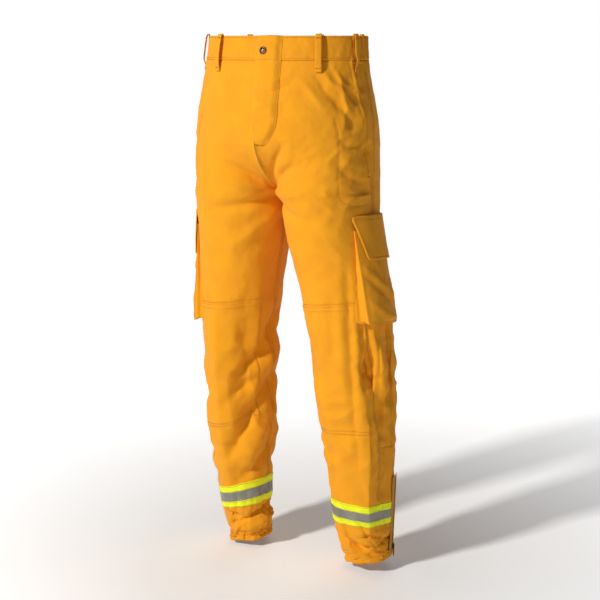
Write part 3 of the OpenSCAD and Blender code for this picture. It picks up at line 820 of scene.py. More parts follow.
def woven(name, colour, dark, pitch=0.55, twill=False, depth=0.00018, rough=0.9, sheen=0.08):
    """Plain or twill weave: warp and weft threads, uneven dye, a little fuzz."""
    s = Shader(name, rough=rough, sheen=sheen)
    s.main.inputs["Sheen Tint"].default_value = (1.0, 0.82, 0.5, 1)
    flat = s.cloth_uv()
    if twill:
        flat = s.node("Mapping", Vector=flat, Rotation=(0, 0, math.radians(58))).outputs[0]
    threads = [s.node("TexWave", settings={"bands_direction": way}, Scale=wave_scale(pitch),
                      Distortion=0.6, Vector=flat, **{"Detail Scale": 2.0}).outputs["Fac"]
               for way in ("X", "Y")]
    weave = s.maths("MULTIPLY", *threads)
    cloud, slub = s.noise(26, 4), s.noise(700, 2)
    tone = s.maths("ADD", s.maths("MULTIPLY", cloud, 0.7), s.maths("MULTIPLY", slub, 0.3))
    base = s.ramp(tone, (0.3, dark), (0.68, colour))
    shade = s.ramp(weave, (0.0, (0.9, 0.87, 0.82)), (0.5, 1))
    s.link(s.multiplied(0.7, base, shade), "Base Color")
    s.link(s.ramp(cloud, (0.2, rough - 0.06), (0.8, rough + 0.05)), "Roughness")
    fine = s.bump(0.5, depth, weave)
    s.bump(0.35, 0.0012, s.noise(160, 3), Normal=fine)
    return s.material


def reflective(name):
    """Silver tape: glass beads give a soft shine with a fine grain."""
    s = Shader(name, rough=0.42, metallic=0.35, specular=0.5)
    cloud = s.noise(60, 3)
    s.link(s.ramp(cloud, (0.3, (0.2, 0.195, 0.165)), (0.7, (0.3, 0.295, 0.26))), "Base Color")
    s.link(s.ramp(cloud, (0.3, 0.36), (0.7, 0.5)), "Roughness")
    s.bump(0.3, 0.0001, s.cells(1500))
    return s.material


def fluorescent(name):
    """Lime trim: bright ribbed tape that glows a little."""
    s = Shader(name, rough=0.7, sheen=0.1)
    ribs = s.node("TexWave", settings={"bands_direction": "Y"}, Scale=wave_scale(1.1),
                  Vector=s.cloth_uv()).outputs["Fac"]
    base = s.ramp(s.noise(50, 3), (0.3, (0.72, 0.78, 0.005)), (0.7, (0.84, 0.88, 0.01)))
    shade = s.ramp(ribs, (0.0, (0.82, 0.86, 0.6)), (0.5, 1))
    s.link(s.multiplied(0.8, base, shade), "Base Color")
    s.main.inputs["Emission Color"].default_value = (0.75, 0.85, 0.0, 1)
    s.main.inputs["Emission Strength"].default_value = 0.12
    s.bump(0.5, 0.0003, ribs)
    return s.material


def metal(name, colour, dark, rough):
    """Cast and tumbled metal: darker where polish does not reach, with fine scratches."""
    s = Shader(name, rough=rough, metallic=1.0, specular=0.5)
    cloud = s.noise(420, 5)
    scratch = s.node("TexNoise", Scale=900, Detail=2.0,
                     Vector=s.node("Mapping", Vector=s.solid, Scale=(1, 1, 0.12)).outputs[0])
    s.link(s.ramp(cloud, (0.35, dark), (0.62, colour)), "Base Color")
    s.link(s.ramp(cloud, (0.3, rough + 0.18), (0.7, rough - 0.06)), "Roughness")
    s.bump(0.25, 0.00008, scratch.outputs["Fac"])
    return s.material


def pile(name, colour, dark):
    """Hook and loop tape: a rough mat of fibres."""
    s = Shader(name, rough=0.95, sheen=0.4)
    tufts = s.cells(1100)
    s.link(s.ramp(tufts, (0.0, colour), (0.6, dark)), "Base Color")
    s.bump(0.8, 0.0006, tufts)
    return s.material


SHELL = woven("shell_cloth", (0.9, 0.375, 0.006), (0.83, 0.32, 0.005), twill=True)
SHELL_TRIM = woven("shell_cloth_bands", (0.88, 0.36, 0.006), (0.8, 0.31, 0.005))
INNER = woven("shell_cloth_inside", (0.8, 0.33, 0.02), (0.7, 0.27, 0.016))
BAG = woven("pocket_bag_cloth", (0.8, 0.58, 0.3), (0.72, 0.5, 0.25), pitch=0.8)
ELASTIC = woven("ribbed_elastic", (0.5, 0.24, 0.07), (0.38, 0.17, 0.05), pitch=1.6, depth=0.0006)
TAPE = woven("zip_tape_weave", (0.62, 0.3, 0.04), (0.5, 0.24, 0.03), pitch=0.7)
LIME = fluorescent("lime_trim_ribbed")
SILVER = reflective("silver_trim_beaded")
SNAP = metal("snap_antique", (0.2, 0.11, 0.065), (0.03, 0.015, 0.01), 0.4)
# The cap's centre boss gets a brighter metal than the rest of the snap: a painted highlight on the
# top of the dome.
SNAP_PAINTED_HIGHLIGHT = metal("snap_worn_edge", (0.5, 0.38, 0.27), (0.25, 0.16, 0.1), 0.34)
COIL = woven("leg_zip_coil", (0.6, 0.27, 0.02), (0.45, 0.2, 0.015), pitch=0.5)
BRASS = metal("zip_brass", (0.66, 0.45, 0.17), (0.32, 0.2, 0.07), 0.36)
HOOK = pile("hook_and_loop_pile", (0.62, 0.34, 0.08), (0.35, 0.17, 0.04))


# Stitches get a thread darker than the cloth: painted shade that stands in for the shadow along
# each line of stitches.
def shaded_thread_material():
    s = Shader("stitching", rough=0.7, sheen=0.15)
    twist = s.noise(2500, 2)
    s.link(s.ramp(twist, (0.3, (0.38, 0.15, 0.01)), (0.7, (0.55, 0.23, 0.015))), "Base Color")
    s.bump(0.4, 0.0001, twist)
    return s.material


THREAD_PAINTED_SHADE = shaded_thread_material()

# ---- Putting pieces under their bodies, and hiding the CAD parts they replace ----
def add(piece, stands_for="", body="root", on="", hinge=None):
    """When hinge is given, the piece's transform is baked in and it is not put under a body;
    otherwise it goes under its body's empty. Names are separated by spaces, and one that starts
    with _ is on the piece's own side."""
    word = piece.name.split("_")[0]
    stands_for, body, on = ([word + v if v[0] == "_" else v for v in names.split()]
                            for names in (stands_for, body, on))
    if hinge:
        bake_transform(piece)
    else:
        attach(piece, body[0])
    if stands_for:
        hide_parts(*stands_for)


# ---- Legs and seat ----
HALF = fine_grid.around // 2


def panel(name, side, j0, j1, hole=None):
    rows = fine_grid.depth[:, j0:j1 + 1]
    rows = rows[rows.min(1) > BAND_H + 1]
    d = np.concatenate([np.full((1, rows.shape[1]), float(BAND_H)), rows])
    u = np.broadcast_to(fine_grid.u[j0:j1 + 1], d.shape)
    keep = ~hole(u, d)[:-1, :-1] if hole else None
    return slab(full_name(name, side), skin(side, u, d), skin(side, u, d, -0.9), SHELL,
                flip=side < 0, keep=keep)


FLY_EDGE = 2 / 28
FLY_LOW = 200


def fly_hole(u, d):
    return (u < FLY_EDGE * (1 - 0.9 * smooth(d, 122, FLY_LOW) ** 1.6)) & (d < FLY_LOW)


def band_gathers(u, d):
    """The elastic draws the waistband's cloth into small upright folds at the sides."""
    share = smooth(u, 0.39, 0.45) * (1 - smooth(u, 0.63, 0.68))
    x = u * HIP_ROUND
    return share * (0.9 * np.sin(x / 1.9 + 0.7 * np.sin(d / 8)) + 0.5 * np.sin(x / 4.3 + d / 17))


for s in SIDES:
    add(panel("_front_cloth", s, 0, HALF, fly_hole if s > 0 else None), "_front_panel",
        on="_waistband")
    add(panel("_back_cloth", s, HALF, fine_grid.around), "_back_panel", on="_waistband")
    start = FLY_EDGE if s > 0 else 0.0
    add(patch("_waistband_cloth", s, (start, 1.0, 0, BAND_H), -1.3, 0.9, SHELL_TRIM,
              step=1.8, edge=2.2, extra=band_gathers), "_waistband")
    add(patch("_waist_elastic_band", s, (0.43, 0.64, 4, 41), -3.2, -2.0, ELASTIC, step=2),
        "waist_elastic" if s > 0 else "", on="_waistband")

# ---- Patches, trim and cuffs ----
KNEE = (0.075, 0.39, 522, 765)
TRIM = (900, 915, 935, 950)
PATCH = 1.1
PLACKET = (12 / 28, 0.506, 800, 1010)


def ribbed(u, d):
    return 0.4 * np.sin(2 * np.pi * d / 5)


def over_placket(u, d):
    """Trim rises over the placket beside the leg's zip."""
    x = (u - PLACKET[0]) * around_mm(d)
    return 1.25 * smooth(x, -2, 2) * (1 - smooth((u - PLACKET[1]) * around_mm(d), -2, 2))


for s in SIDES:
    add(patch("_knee_patch_cloth", s, KNEE, 0.15, PATCH, SHELL, step=2.6), "_knee_patch",
        on="_front_cloth")
    for k, (low, high) in enumerate(zip(TRIM[::2], TRIM[1::2])):
        add(patch(f"_trim_lime_{k + 1}", s, (0.0, 1.0, low, high), 0.15, PATCH, LIME,
                  step=1.1, edge=0.8, extra=ribbed, under=over_placket),
            "_trim_lime" if k == 0 else "", on="_front_cloth")
    add(patch("_trim_silver_band", s, (0.0, 1.0, TRIM[1] - 1, TRIM[2] + 1), 0.1,
              PATCH - 0.25, SILVER, step=1.8, edge=0.8, under=over_placket),
        "_trim_silver", on="_front_cloth")
    add(patch("_hem_cuff_cloth", s, (0.0, 1.0, 1036, HEM), 0.1, 1.3, SHELL_TRIM, step=1.8),
        "_hem_cuff", on="_front_cloth")

# ---- Belt loops ----
# Side and u of each loop, as in the CAD
LOOPS = [(1, 0.23), (1, 0.42), (1, 0.73), (-1, 0.19), (-1, 0.42), (-1, 0.73), (1, 0.97)]
LOOP_PATH = [(9, 1.2), (1, 1.9), (-2.5, 3.2), (-2, 5.6), (4, 7.6), (16, 8.4), (32, 8.6), (47, 8.0),
             (54, 6.2), (59, 4.0), (64, 2.7), (66, 1.9)]


def loop_strip(side, u):
    path = np.array(LOOP_PATH, float)
    t = np.linspace(0, len(path) - 1, 60)
    line = np.stack([np.interp(t, np.arange(len(path)), path[:, k]) for k in (0, 1)], 1)
    for _ in range(4):
        line[1:-1] = (line[:-2] + 2 * line[1:-1] + line[2:]) / 4
    slope = unit(np.gradient(line, axis=0))
    across = np.linspace(-1, 1, 9)
    us = u + across * 7.0 / HIP_ROUND
    crown = (0.5 * (1 - across ** 4))[None, :]
    grids = []
    for off in (0.55, -0.55):
        d = (line[:, 0] + slope[:, 1] * -off)[:, None] + 0 * us[None, :]
        o = (line[:, 1] + slope[:, 0] * off)[:, None] + crown
        grids.append(skin(side, np.broadcast_to(us, d.shape), d, o))
    return grids


for k, (s, u) in enumerate(LOOPS):
    loop = slab(f"belt_loop_{k + 1}", *loop_strip(s, u), SHELL_TRIM, flip=s < 0, lengthways=True)
    add(loop, "belt_loops" if k == 0 else "", on="left_waistband")

# ---- Fly ----
FLY_FRONT = HIP[0][2] - HIP[0][3]
FLY_LEAN = math.radians(9.85)
FLAP_EDGE = -8.0
FLAP_SEWN = 46.0
ZIP_X = 15.0
ZIP_TOP = 53
SNAP_AT = (11.0, 28.0)


def front_skin(x, d, out=0.0):
    """Points over the front, x millimetres from the centre line."""
    x, d, out = arrays(x, d, out)
    half = section(HIP, d.ravel())[:, 1].reshape(d.shape)
    u = np.arcsin(np.clip(np.abs(x) / half, 0, 1) ** (1 / 0.96)) / math.pi
    return np.where((x >= 0)[..., None], skin(1, u, d, out), skin(-1, u, d, out))


def front_normal(x, d):
    e = 1.0
    a = front_skin(x + e, d) - front_skin(x - e, d)
    b = front_skin(x, d + e) - front_skin(x, d - e)
    return unit(np.cross(b, a))


def fly_point(x, d, out):
    """A point of the fly's plane, as in the CAD, in metres."""
    y, z = -out, -d
    c, s = math.cos(-FLY_LEAN), math.sin(-FLY_LEAN)
    return Vector((x, y * c - z * s - FLY_FRONT, y * s + z * c)) * MM


def sewn_edge(d):
    """The line that the flap is sewn along: straight down, then round towards the crotch."""
    return FLAP_SEWN - 20 * smooth(np.asarray(d, float), 150, 206) ** 1.6


def flap_sheet(name, d0, d1, corner, low, high, mat):
    ds = spaced(d0, d1, 2.0, 1.5)
    k = np.linspace(0, 1, 34)
    left = FLAP_EDGE + np.array([corner(d) for d in ds])[:, None]
    right = sewn_edge(ds)[:, None]
    x = left + (right - left) * k[None, :]
    d = np.broadcast_to(ds[:, None], x.shape)
    raised = 1.4 + (low - 1.4) * smooth(x, FLAP_EDGE, 7) * (1 - smooth(x - right, -14, -1))
    raised = (raised - 1.1 * smooth(x - right, -10, -1)) * (1 - 0.5 * smooth(d, 187, 199))
    edge = np.sqrt(np.clip(np.minimum((x - left) / 1.5, np.minimum(d - d0, d1 - d) / 1.5), 0, 1))
    puff = 0.25 * wrinkle(x / 3, d / 6, 40)
    thick = 0.12 + 0.88 * edge * (1 - 0.6 * smooth(x - right, -14, -1))
    top = raised + (high - low) * thick + puff
    return slab(name, front_skin(x, d, top), front_skin(x, d, raised + puff), mat)


def tab_corner(d):
    return max(0.0, 9.0 - d)


def facing_corner(d):
    return 1.0 + 9 * float(smooth(d, 165, 200)) ** 2


across_fly = front_skin(47, 90, 3), front_skin(30, 90, 3)
add(flap_sheet("waist_tab_cloth", 0, BAND_H, tab_corner, 4.3, 6.2, SHELL_TRIM), "waist_tab",
    body="fly_flap", hinge=across_fly, on="right_waistband")
add(flap_sheet("fly_facing_cloth", BAND_H - 1, 199, facing_corner, 4.0, 5.0, SHELL),
    "fly_facing fly_seam", body="fly_flap", hinge=across_fly, on="right_front_cloth")
add(patch("waist_underlap_cloth", 1, (0.001, 0.0665, 0, BAND_H), -1.3, 0.7, SHELL_TRIM, step=2),
    "waist_underlap", on="right_waistband")
add(patch("fly_shield_cloth", 1, (0.001, 0.066, BAND_H + 1, 192), -5.0, -3.8, INNER),
    "fly_shield", on="right_front_panel")
for k, span in enumerate(((0.0, 0.024), (0.034, 0.08))):
    add(patch(f"fly_tape_{k + 1}", 1, (*span, BAND_H + 1, 194), -2.3, -1.5, TAPE, step=2),
        "fly_tapes" if k == 0 else "", on="fly_shield")


TOOTH_PITCH = 2.7


def zip_teeth(name, top, down, across, out, length, mat):
    """Two rows of teeth that mesh, as one piece. Each tooth is a bar with a nose."""
    half = np.array([[-1, -1], [1, -1], [1, 1], [-1, 1]], float)
    points, faces = [], []
    top, down, across, out = (np.array(v, float) for v in (top, down, across, out))
    for k in range(int(length / TOOTH_PITCH)):
        for way in (-1, 1):
            at = top + down * (k + (way + 1) / 4) * TOOTH_PITCH * MM
            base = len(points)
            for x, height, deep in ((-0.5, 0.5, 0.7), (1.1, 0.62, 0.95), (2.0, 0.62, 0.9),
                                    (2.6, 0.45, 0.6)):
                for p, q in half:
                    points.append(at + (across * way * x + down * p * height + out * q * deep) * MM)
            rings = [tuple(base + v for v in r) for r in ((0, 1, 2, 3), (12, 15, 14, 13))]
            faces += rings
            faces += [(base + 4 * i + j, base + 4 * i + 4 + j, base + 4 * i + 4 + (j + 1) % 4,
                       base + 4 * i + (j + 1) % 4) for i in range(3) for j in range(4)]
    ob = mesh_object(name, points, faces)
    ob.data.polygons.foreach_set("use_smooth", np.zeros(len(faces), bool))
    ob.data.materials.append(mat)
    return ob


fly_down = (fly_point(ZIP_X, 100, 0) - fly_point(ZIP_X, 0, 0)).normalized()
fly_out = (fly_point(ZIP_X, 0, 1) - fly_point(ZIP_X, 0, 0)).normalized()
add(zip_teeth("fly_zip_teeth", fly_point(ZIP_X, ZIP_TOP, -0.6), fly_down, (1, 0, 0), fly_out,
              128, BRASS), "fly_chain")

SNAP_CAP = [(0, 1.9), (0.9, 1.9), (1.8, 1.5), (2.6, 1.0), (3.4, 0.95), (4.1, 1.3), (4.6, 1.9),
            (5.6, 2.35), (6.6, 2.2), (7.3, 1.5), (7.5, 0.8), (7.4, 0.1), (6.4, -0.3), (0, -0.4)]
SNAP_SOCKET = [(0, -0.2), (6.2, -0.2), (6.5, -0.8), (6.2, -1.5), (5.2, -1.7), (4.4, -1.5),
               (4.2, -0.7), (0, -0.6)]
SNAP_STUD = [(0, 2.2), (2.2, 2.2), (3.0, 1.8), (3.0, 1.2), (2.5, 0.9), (3.4, 0.7), (6.0, 0.6),
             (6.2, 0.1), (0, -0.3)]
x, d = SNAP_AT
out = Vector(front_normal(x, d))
for name, profile, height, body, node in (
        ("snap_cap_turned", SNAP_CAP, 6.2, "fly_flap", "snap_cap"),
        ("snap_socket_turned", SNAP_SOCKET, 4.3, "fly_flap", "snap_socket"),
        ("snap_stud_turned", SNAP_STUD, 0.6, "root", "snap_stud")):
    add(lathe(name, profile, front_skin(x, d, height), out, SNAP), node, body=body)
# The boss's brighter metal is a painted highlight on the top of the snap cap.
add(lathe("snap_cap_boss", [(0, 2.1), (0.9, 2.05), (1.6, 1.8), (2.1, 1.3), (0, 1.2)],
          front_skin(x, d, 6.2), out, SNAP_PAINTED_HIGHLIGHT, turns=24),
    body="fly_flap")

# ---- Front pockets ----
def slanted(u, d):
    """Moves a patch's front edge onto the slant of the pocket's mouth."""
    edge = pocket_edge(d)
    k = (u - 0.4) / (0.5 - 0.4)
    return edge + (0.499 - edge) * k, d


for s in SIDES:
    add(patch("_pocket_facing_cloth", s, (0.4, 0.5, 47, 256), 0.05, 0.75, SHELL,
              step=2.4, shape=slanted), "_front_pocket_facing", on="_front_cloth")
    add(patch("_pocket_bag_cloth", s, (0.2, 0.47, BAND_H, 240), -4.6, -3.6, BAG, step=5),
        "_front_pocket_bag", on="_waistband")

# ---- Cargo pockets ----
CARGO_W = 120
CARGO_TURN = math.radians(2)
CARGO_TOP_GAP = 6
CARGO_BOTTOM_GAP = 12
CARGO_LEAN = 14
CARGO_TIP = 0.07
CARGO_SAG = 18
CARGO_TOP, CARGO_OPEN, FLAP_LOW, CARGO_LOW = 353, 372, 433, 565
FLAP_SLANT = 20
CORNER = 9.0


def cargo_axes(side):
    out = np.array([side * math.cos(CARGO_TURN), -math.sin(CARGO_TURN), 0])
    return out, np.array([side * math.sin(CARGO_TURN), math.cos(CARGO_TURN), 0])


def cargo_point(side, a, d, out):
    """A point of the pocket, as in the CAD: a along its face from the middle, in millimetres."""
    a, d, out = arrays(a, d, out)
    way, along = cargo_axes(side)
    reach = (out - CARGO_SAG * (2 * a / CARGO_W) ** 2)[..., None] * way

    def end(depth, gap, lean):
        s = section(LEG[side], [depth])[0]
        away = math.hypot(s[3] * math.cos(CARGO_TURN), s[4] * math.sin(CARGO_TURN)) + gap
        return np.array([side * s[1], s[2], 0]) + away * way + reach + (a - lean)[..., None] * along

    t = (d - CARGO_TOP) / (CARGO_LOW - CARGO_TOP)
    top, low = end(CARGO_TOP, CARGO_TOP_GAP, 0), end(CARGO_LOW, CARGO_BOTTOM_GAP, CARGO_LEAN)
    p = (1 - t)[..., None] * top + t[..., None] * low
    p[..., 2] = ((1 - t) * (tilt_rise(side, top, CARGO_TOP) - CARGO_TIP * a)
                 + t * tilt_rise(side, low, CARGO_LOW) - d)
    return p


def on_leg(side, p, d):
    """The points of the leg's section that lie inward of points of the pocket."""
    way, _ = cargo_axes(side)
    s = section(LEG[side], d.ravel()).T.reshape(8, *d.shape)
    low, high = np.zeros(d.shape), np.full(d.shape, 70.0)
    for _ in range(18):
        mid = (low + high) / 2
        q = p - mid[..., None] * way
        far = (np.abs((np.abs(q[..., 0]) - s[1]) / s[3]) ** SHAPE_POWER
               + np.abs((q[..., 1] - s[2]) / s[4]) ** SHAPE_POWER) > 1
        low, high = np.where(far, mid, low), np.where(far, high, mid)
    return p - (low + 2.5)[..., None] * way


def half_width(d):
    """Half the width of the pocket's face at a depth: its low corners are rounded."""
    drop = np.clip(d - (CARGO_LOW - CORNER), 0, CORNER)
    return CARGO_W / 2 - CORNER + np.sqrt(np.maximum(CORNER ** 2 - drop ** 2, 0))


# Creases of the pocket's face: along the face and depth in mm, height, half width
POCKET_FOLDS = [([(-52, 452), (-20, 480), (25, 505)], 3.2, 9),
                ([(-45, 470), (-10, 505), (30, 540)], -3.0, 9),
                ([(-50, 520), (-20, 545), (10, 552)], 2.6, 8),
                ([(50, 450), (20, 470), (5, 500)], -2.4, 9),
                ([(-20, 438), (-5, 470), (0, 500)], 2.0, 9)]


def pocket_relief(side, a, d):
    h = np.zeros(np.shape(a))
    for line, amount, width in POCKET_FOLDS:
        best = np.full(np.shape(a), 1e9)
        for start, end in zip(line, line[1:]):
            best = np.minimum(best, from_segment(a, d, start, end)[0])
        h = h + amount * np.exp(-(best / width) ** 2)
    h = h + 0.6 * wrinkle(a / 6, d / 7, 60 + side) + 0.25 * wrinkle(a / 2.5, d / 3, 70 + side)
    puff = 4.0 * np.clip(1 - (2 * a / CARGO_W) ** 2, 0, 1) ** 0.7 * smooth(d, 440, 520)
    edge = smooth(CARGO_W / 2 - np.abs(a), 0, 12) * smooth(CARGO_LOW - d, 0, 12)
    return (h + puff) * smooth(d, 425, 450) * edge


def cargo_face(side):
    ks = spaced(-1, 1, 0.045, 0.03)
    ds = np.concatenate([spaced(CARGO_OPEN, CARGO_LOW - CORNER, 2.8, 1.5)[:-1],
                         CARGO_LOW - CORNER + CORNER * np.sin(np.linspace(0, math.pi / 2, 8))])
    k, d = np.meshgrid(ks, ds)
    a = k * half_width(d)
    h = pocket_relief(side, a, d)
    rim = 0.7 * np.exp(-((d - CARGO_OPEN - 3) / 4) ** 2)
    outer = cargo_point(side, a, d, h + rim) * MM
    inner = cargo_point(side, a, d, h - 1.2) * MM
    return slab(full_name("_cargo_face_cloth", side), outer, inner, SHELL, flip=side < 0)


def cargo_route():
    """Round the pocket's edge from its front top corner to its back one: a, depth, inward."""
    half, low = CARGO_W / 2, CARGO_LOW
    turn = np.linspace(0, math.pi / 2, 8)[1:-1]
    route = [(-half, d, 1, 0) for d in np.linspace(CARGO_OPEN, low - CORNER, 46)]
    route += [(-half + CORNER - CORNER * math.cos(t), low - CORNER + CORNER * math.sin(t),
               math.cos(t), -math.sin(t)) for t in turn]
    route += [(a, low, 0, -1) for a in np.linspace(-half + CORNER, half - CORNER, 32)]
    route += [(half - CORNER + CORNER * math.sin(t), low - CORNER + CORNER * math.cos(t),
               -math.sin(t), -math.cos(t)) for t in turn]
    route += [(half, d, -1, 0) for d in np.linspace(low - CORNER, CARGO_OPEN, 46)]
    return np.array(route)


def cargo_bellows(side):
    """The gusset: a strip that folds in once between the face and the leg."""
    a, d, ia, idp = cargo_route().T[:, :, None]
    f = np.linspace(0, 1, 14)[None, :]
    face = cargo_point(side, a + 0 * f, d + 0 * f, -0.4)
    leg = on_leg(side, face, d + 0 * f)
    run = np.arange(len(a))[:, None] * 4.0
    tuck = 4.5 * np.sin(np.pi * f) ** 1.5 + 0.7 * wrinkle(run / 5, f * 3, 80) * np.sin(np.pi * f)
    tuck = tuck - 2.2 * np.sin(2 * np.pi * f) ** 3
    way, along = cargo_axes(side)
    down = np.array([0, 0, -1.0])
    grids = []
    for thick in (0.0, 1.2):
        move = (tuck + thick)[..., None] * (ia[..., None] * along + idp[..., None] * down)
        grids.append((face + (leg - face) * f[..., None] + move) * MM)
    return slab(full_name("_cargo_gusset_cloth", side), *grids, SHELL, flip=side > 0)


def flap_grid(side, low, high, d0, d1, a0, a1, slant, round_to=7.0):
    ks, ds = spaced(0, 1, 0.022, 0.012), spaced(d0, d1, 2.2, 1.5)
    k, d = np.meshgrid(ks, ds)
    cut = slant * np.clip((d - CARGO_TOP) / (d1 - CARGO_TOP), 0, 1)
    drop = np.clip(d - (d1 - round_to), 0, round_to)
    inset = round_to - np.sqrt(round_to ** 2 - drop ** 2)
    a = a0 + cut + inset + (a1 - a0 - cut - 2 * inset) * k
    near = np.minimum(np.minimum(k, 1 - k) * (a1 - a0), np.minimum(d - d0, d1 - d))
    lift = np.sqrt(np.clip(near / 1.5, 0, 1))
    rim = 0.6 * np.exp(-((near - 2.5) / 2.2) ** 2) - 0.5 * np.exp(-((near - 6) / 1.3) ** 2)
    h = rim + 0.5 * wrinkle(a / 7, d / 9, 90 + side) + 0.2 * wrinkle(a / 2.7, d / 3.1, 95)
    h = h + 1.6 * np.exp(-((a - 30) / 16) ** 2) * smooth(d, 380, 430)
    return a, d, low + h, low + h + (high - low) * (0.25 + 0.75 * lift)


def cargo_strip(name, side, span, low, high, mat, slant=0.0, round_to=7.0):
    a, d, under, top = flap_grid(side, low, high, *span, slant, round_to)
    return slab(full_name(name, side), cargo_point(side, a, d, top) * MM,
                cargo_point(side, a, d, under) * MM, mat, flip=side < 0)


half = CARGO_W / 2
for s in SIDES:
    add(cargo_face(s), "_cargo_face", on="_cargo_gusset_cloth")
    add(cargo_bellows(s), "_cargo_gusset", on="_front_cloth")
    add(cargo_strip("_cargo_header_cloth", s, (CARGO_TOP - 12, CARGO_TOP + 4, -half, half),
                    -6.0, 1.6, SHELL_TRIM, round_to=1.0),
        "_cargo_header", on="_front_cloth")
    flap = cargo_strip("_cargo_flap_cloth", s, (CARGO_TOP - 11, FLAP_LOW, -half - 3, half + 3),
                       2.6, 4.5, SHELL, slant=FLAP_SLANT)
    add(flap, "_cargo_flap", body="_cargo_flap_body", on="_cargo_header_cloth",
        hinge=[cargo_point(s, 0, CARGO_TOP + at, 4) * MM for at in (-2, 13)])
    span = (FLAP_LOW - 32, FLAP_LOW - 8, -half + 22, half - 12)
    add(cargo_strip("_cargo_hook_tape", s, span, 1.5, 2.7, HOOK, round_to=2.0), "_cargo_hook",
        body="_cargo_flap_body", on="_cargo_flap_cloth")
    add(cargo_strip("_cargo_loop_tape", s, span, -0.3, 0.9, HOOK, round_to=2.0), "_cargo_loop",
        on="_cargo_face_cloth")

# ---- Rear pockets, plackets and ankle tabs ----
REAR = (19 / 28, 25 / 28)
REAR_TOP, REAR_OPEN, REAR_FLAP_LOW, REAR_LOW = 100, 128, 165, 248
TAB = (7 / 28, 12 / 28)
TAB_MIDDLE = 1049


def from_middle(u):
    """Where a point is across the rear pocket, from -1 to 1."""
    return (u - REAR[0]) / (REAR[1] - REAR[0]) * 2 - 1


def pointed_pocket(u, d):
    """Cuts a rear pocket's low corners at a slant."""
    k = from_middle(u)
    cut = 14 * smooth(np.abs(k), 0.55, 1.0) * (d - REAR_OPEN) / (REAR_LOW - REAR_OPEN)
    return u, d - cut


def pointed_flap(u, d):
    k = from_middle(u)
    cut = 10 * smooth(np.abs(k), 0.5, 1.0) * (d - REAR_TOP) / (REAR_FLAP_LOW - REAR_TOP)
    return u, d - cut


def rounded_tab(u, d):
    k = np.clip((u - TAB[0]) / (TAB[1] - TAB[0]), 0, 1)
    return u, TAB_MIDDLE + (d - TAB_MIDDLE) * (1 - 0.35 * smooth(k, 0.85, 1.0))


def pocket_puff(u, d):
    k = from_middle(u)
    return 1.6 * (1 - k * k) * smooth(d, 140, 200) * smooth(REAR_LOW - d, 0, 30)


def stiff_band(u, d):
    return 0.35 * wrinkle(u * HIP_ROUND / 6, d / 8, 33)


for s in SIDES:
    add(patch("_rear_pocket_cloth", s, (*REAR, REAR_OPEN, REAR_LOW), 0.15, 1.4, SHELL,
              step=2.8, shape=pointed_pocket, extra=pocket_puff), "_rear_pocket", on="_back_cloth")
    span = (REAR[0] - 0.004, REAR[1] + 0.004, REAR_TOP - 6, REAR_FLAP_LOW)
    mid = (REAR[0] + REAR[1]) / 2
    add(patch("_rear_flap_cloth", s, span, 2.1, 3.7, SHELL, step=2.8, shape=pointed_flap,
              extra=stiff_band), "_rear_flap", body="_rear_flap_body", on="_back_cloth",
        hinge=[skin(s, mid, REAR_TOP + at, 3) for at in (-1, 11)])
    add(patch("_ankle_tab_cloth", s, (TAB[0] - 0.025, TAB[1], 1039, 1059), 1.5, 3.1,
              SHELL_TRIM, step=1.8, shape=rounded_tab, extra=stiff_band),
        "_ankle_tab", body="_ankle_tab_body", on="_hem_cuff_cloth",
        hinge=[skin(s, u, TAB_MIDDLE, 3) for u in (TAB[0] - 0.004, TAB[0] + 0.035)])
    add(patch("_leg_placket_cloth", s, PLACKET, 0.1, 1.25, SHELL_TRIM, step=2.4,
              extra=stiff_band), "_leg_placket", on="_front_cloth")

# ---- Leg zips ----
for s in SIDES:
    low, n = cad_skin(s, ZIP_U, LEG_ZIP_LOW, LEG_ZIP_OUT)
    high, _ = cad_skin(s, ZIP_U, LEG_ZIP_LOW - LEG_ZIP_L, LEG_ZIP_OUT)
    up = Vector(high - low).normalized()
    across = up.cross(Vector(n)).normalized()
    out = across.cross(up).normalized()
    teeth = zip_teeth(full_name("_leg_zip_teeth", s), (Vector(low) + up * 1.0) * MM, up, across,
                      out, 160, COIL)
    add(teeth, "_leg_chain")
    for k, (a0, a1) in enumerate(((-12.4, -1.6), (1.6, 12.4))):
        a, h = np.meshgrid(spaced(a0, a1, 1.3, 0.6), spaced(0, LEG_ZIP_L, 3.0, 1.0))
        wave = 0.25 * wrinkle(a / 3, h / 9, 50 + k) - a * a / 90
        grids = [(np.array(low) + h[..., None] * np.array(up) + a[..., None] * np.array(across)
                  + (o + wave)[..., None] * np.array(out)) * MM for o in (-0.2, -1.0)]
        add(slab(full_name(f"_leg_zip_tape_{k + 1}", s), *grids, TAPE, flip=True),
            "_leg_tape" if k == 0 else "", on="_back_cloth")

# ---- Stitching ----
BARTACK_H = 3.0


def cargo_line(side, row, out):
    """A stitch line on a pocket: row is a list of (a, depth) points."""
    a, d = in_steps(row)
    p = cargo_point(side, a, d, out(a, d)) * MM
    return stitch_line(p, np.broadcast_to(cargo_axes(side)[0], p.shape))


def on_flap(a, d):
    return 4.75 + 0 * a


def bartack(side, u, d, out, width=9.0):
    """Close parallel stitches across a stress point."""
    lines = []
    for k in np.linspace(-0.5, 0.5, 11):
        us = np.array([u + k * width / HIP_ROUND] * 2)
        ds = np.array([d - BARTACK_H / 2, d + BARTACK_H / 2])
        lines.append(np.concatenate([skin(side, us, ds, out), skin_normal(side, us, ds)], 1))
    return lines


def level(side, d, u0, u1, out, parts=4):
    """Stitches round the trousers at a depth."""
    return sewn(side, [(u, d) for u in (u0, *(k / parts for k in range(1, parts)), u1)], out)


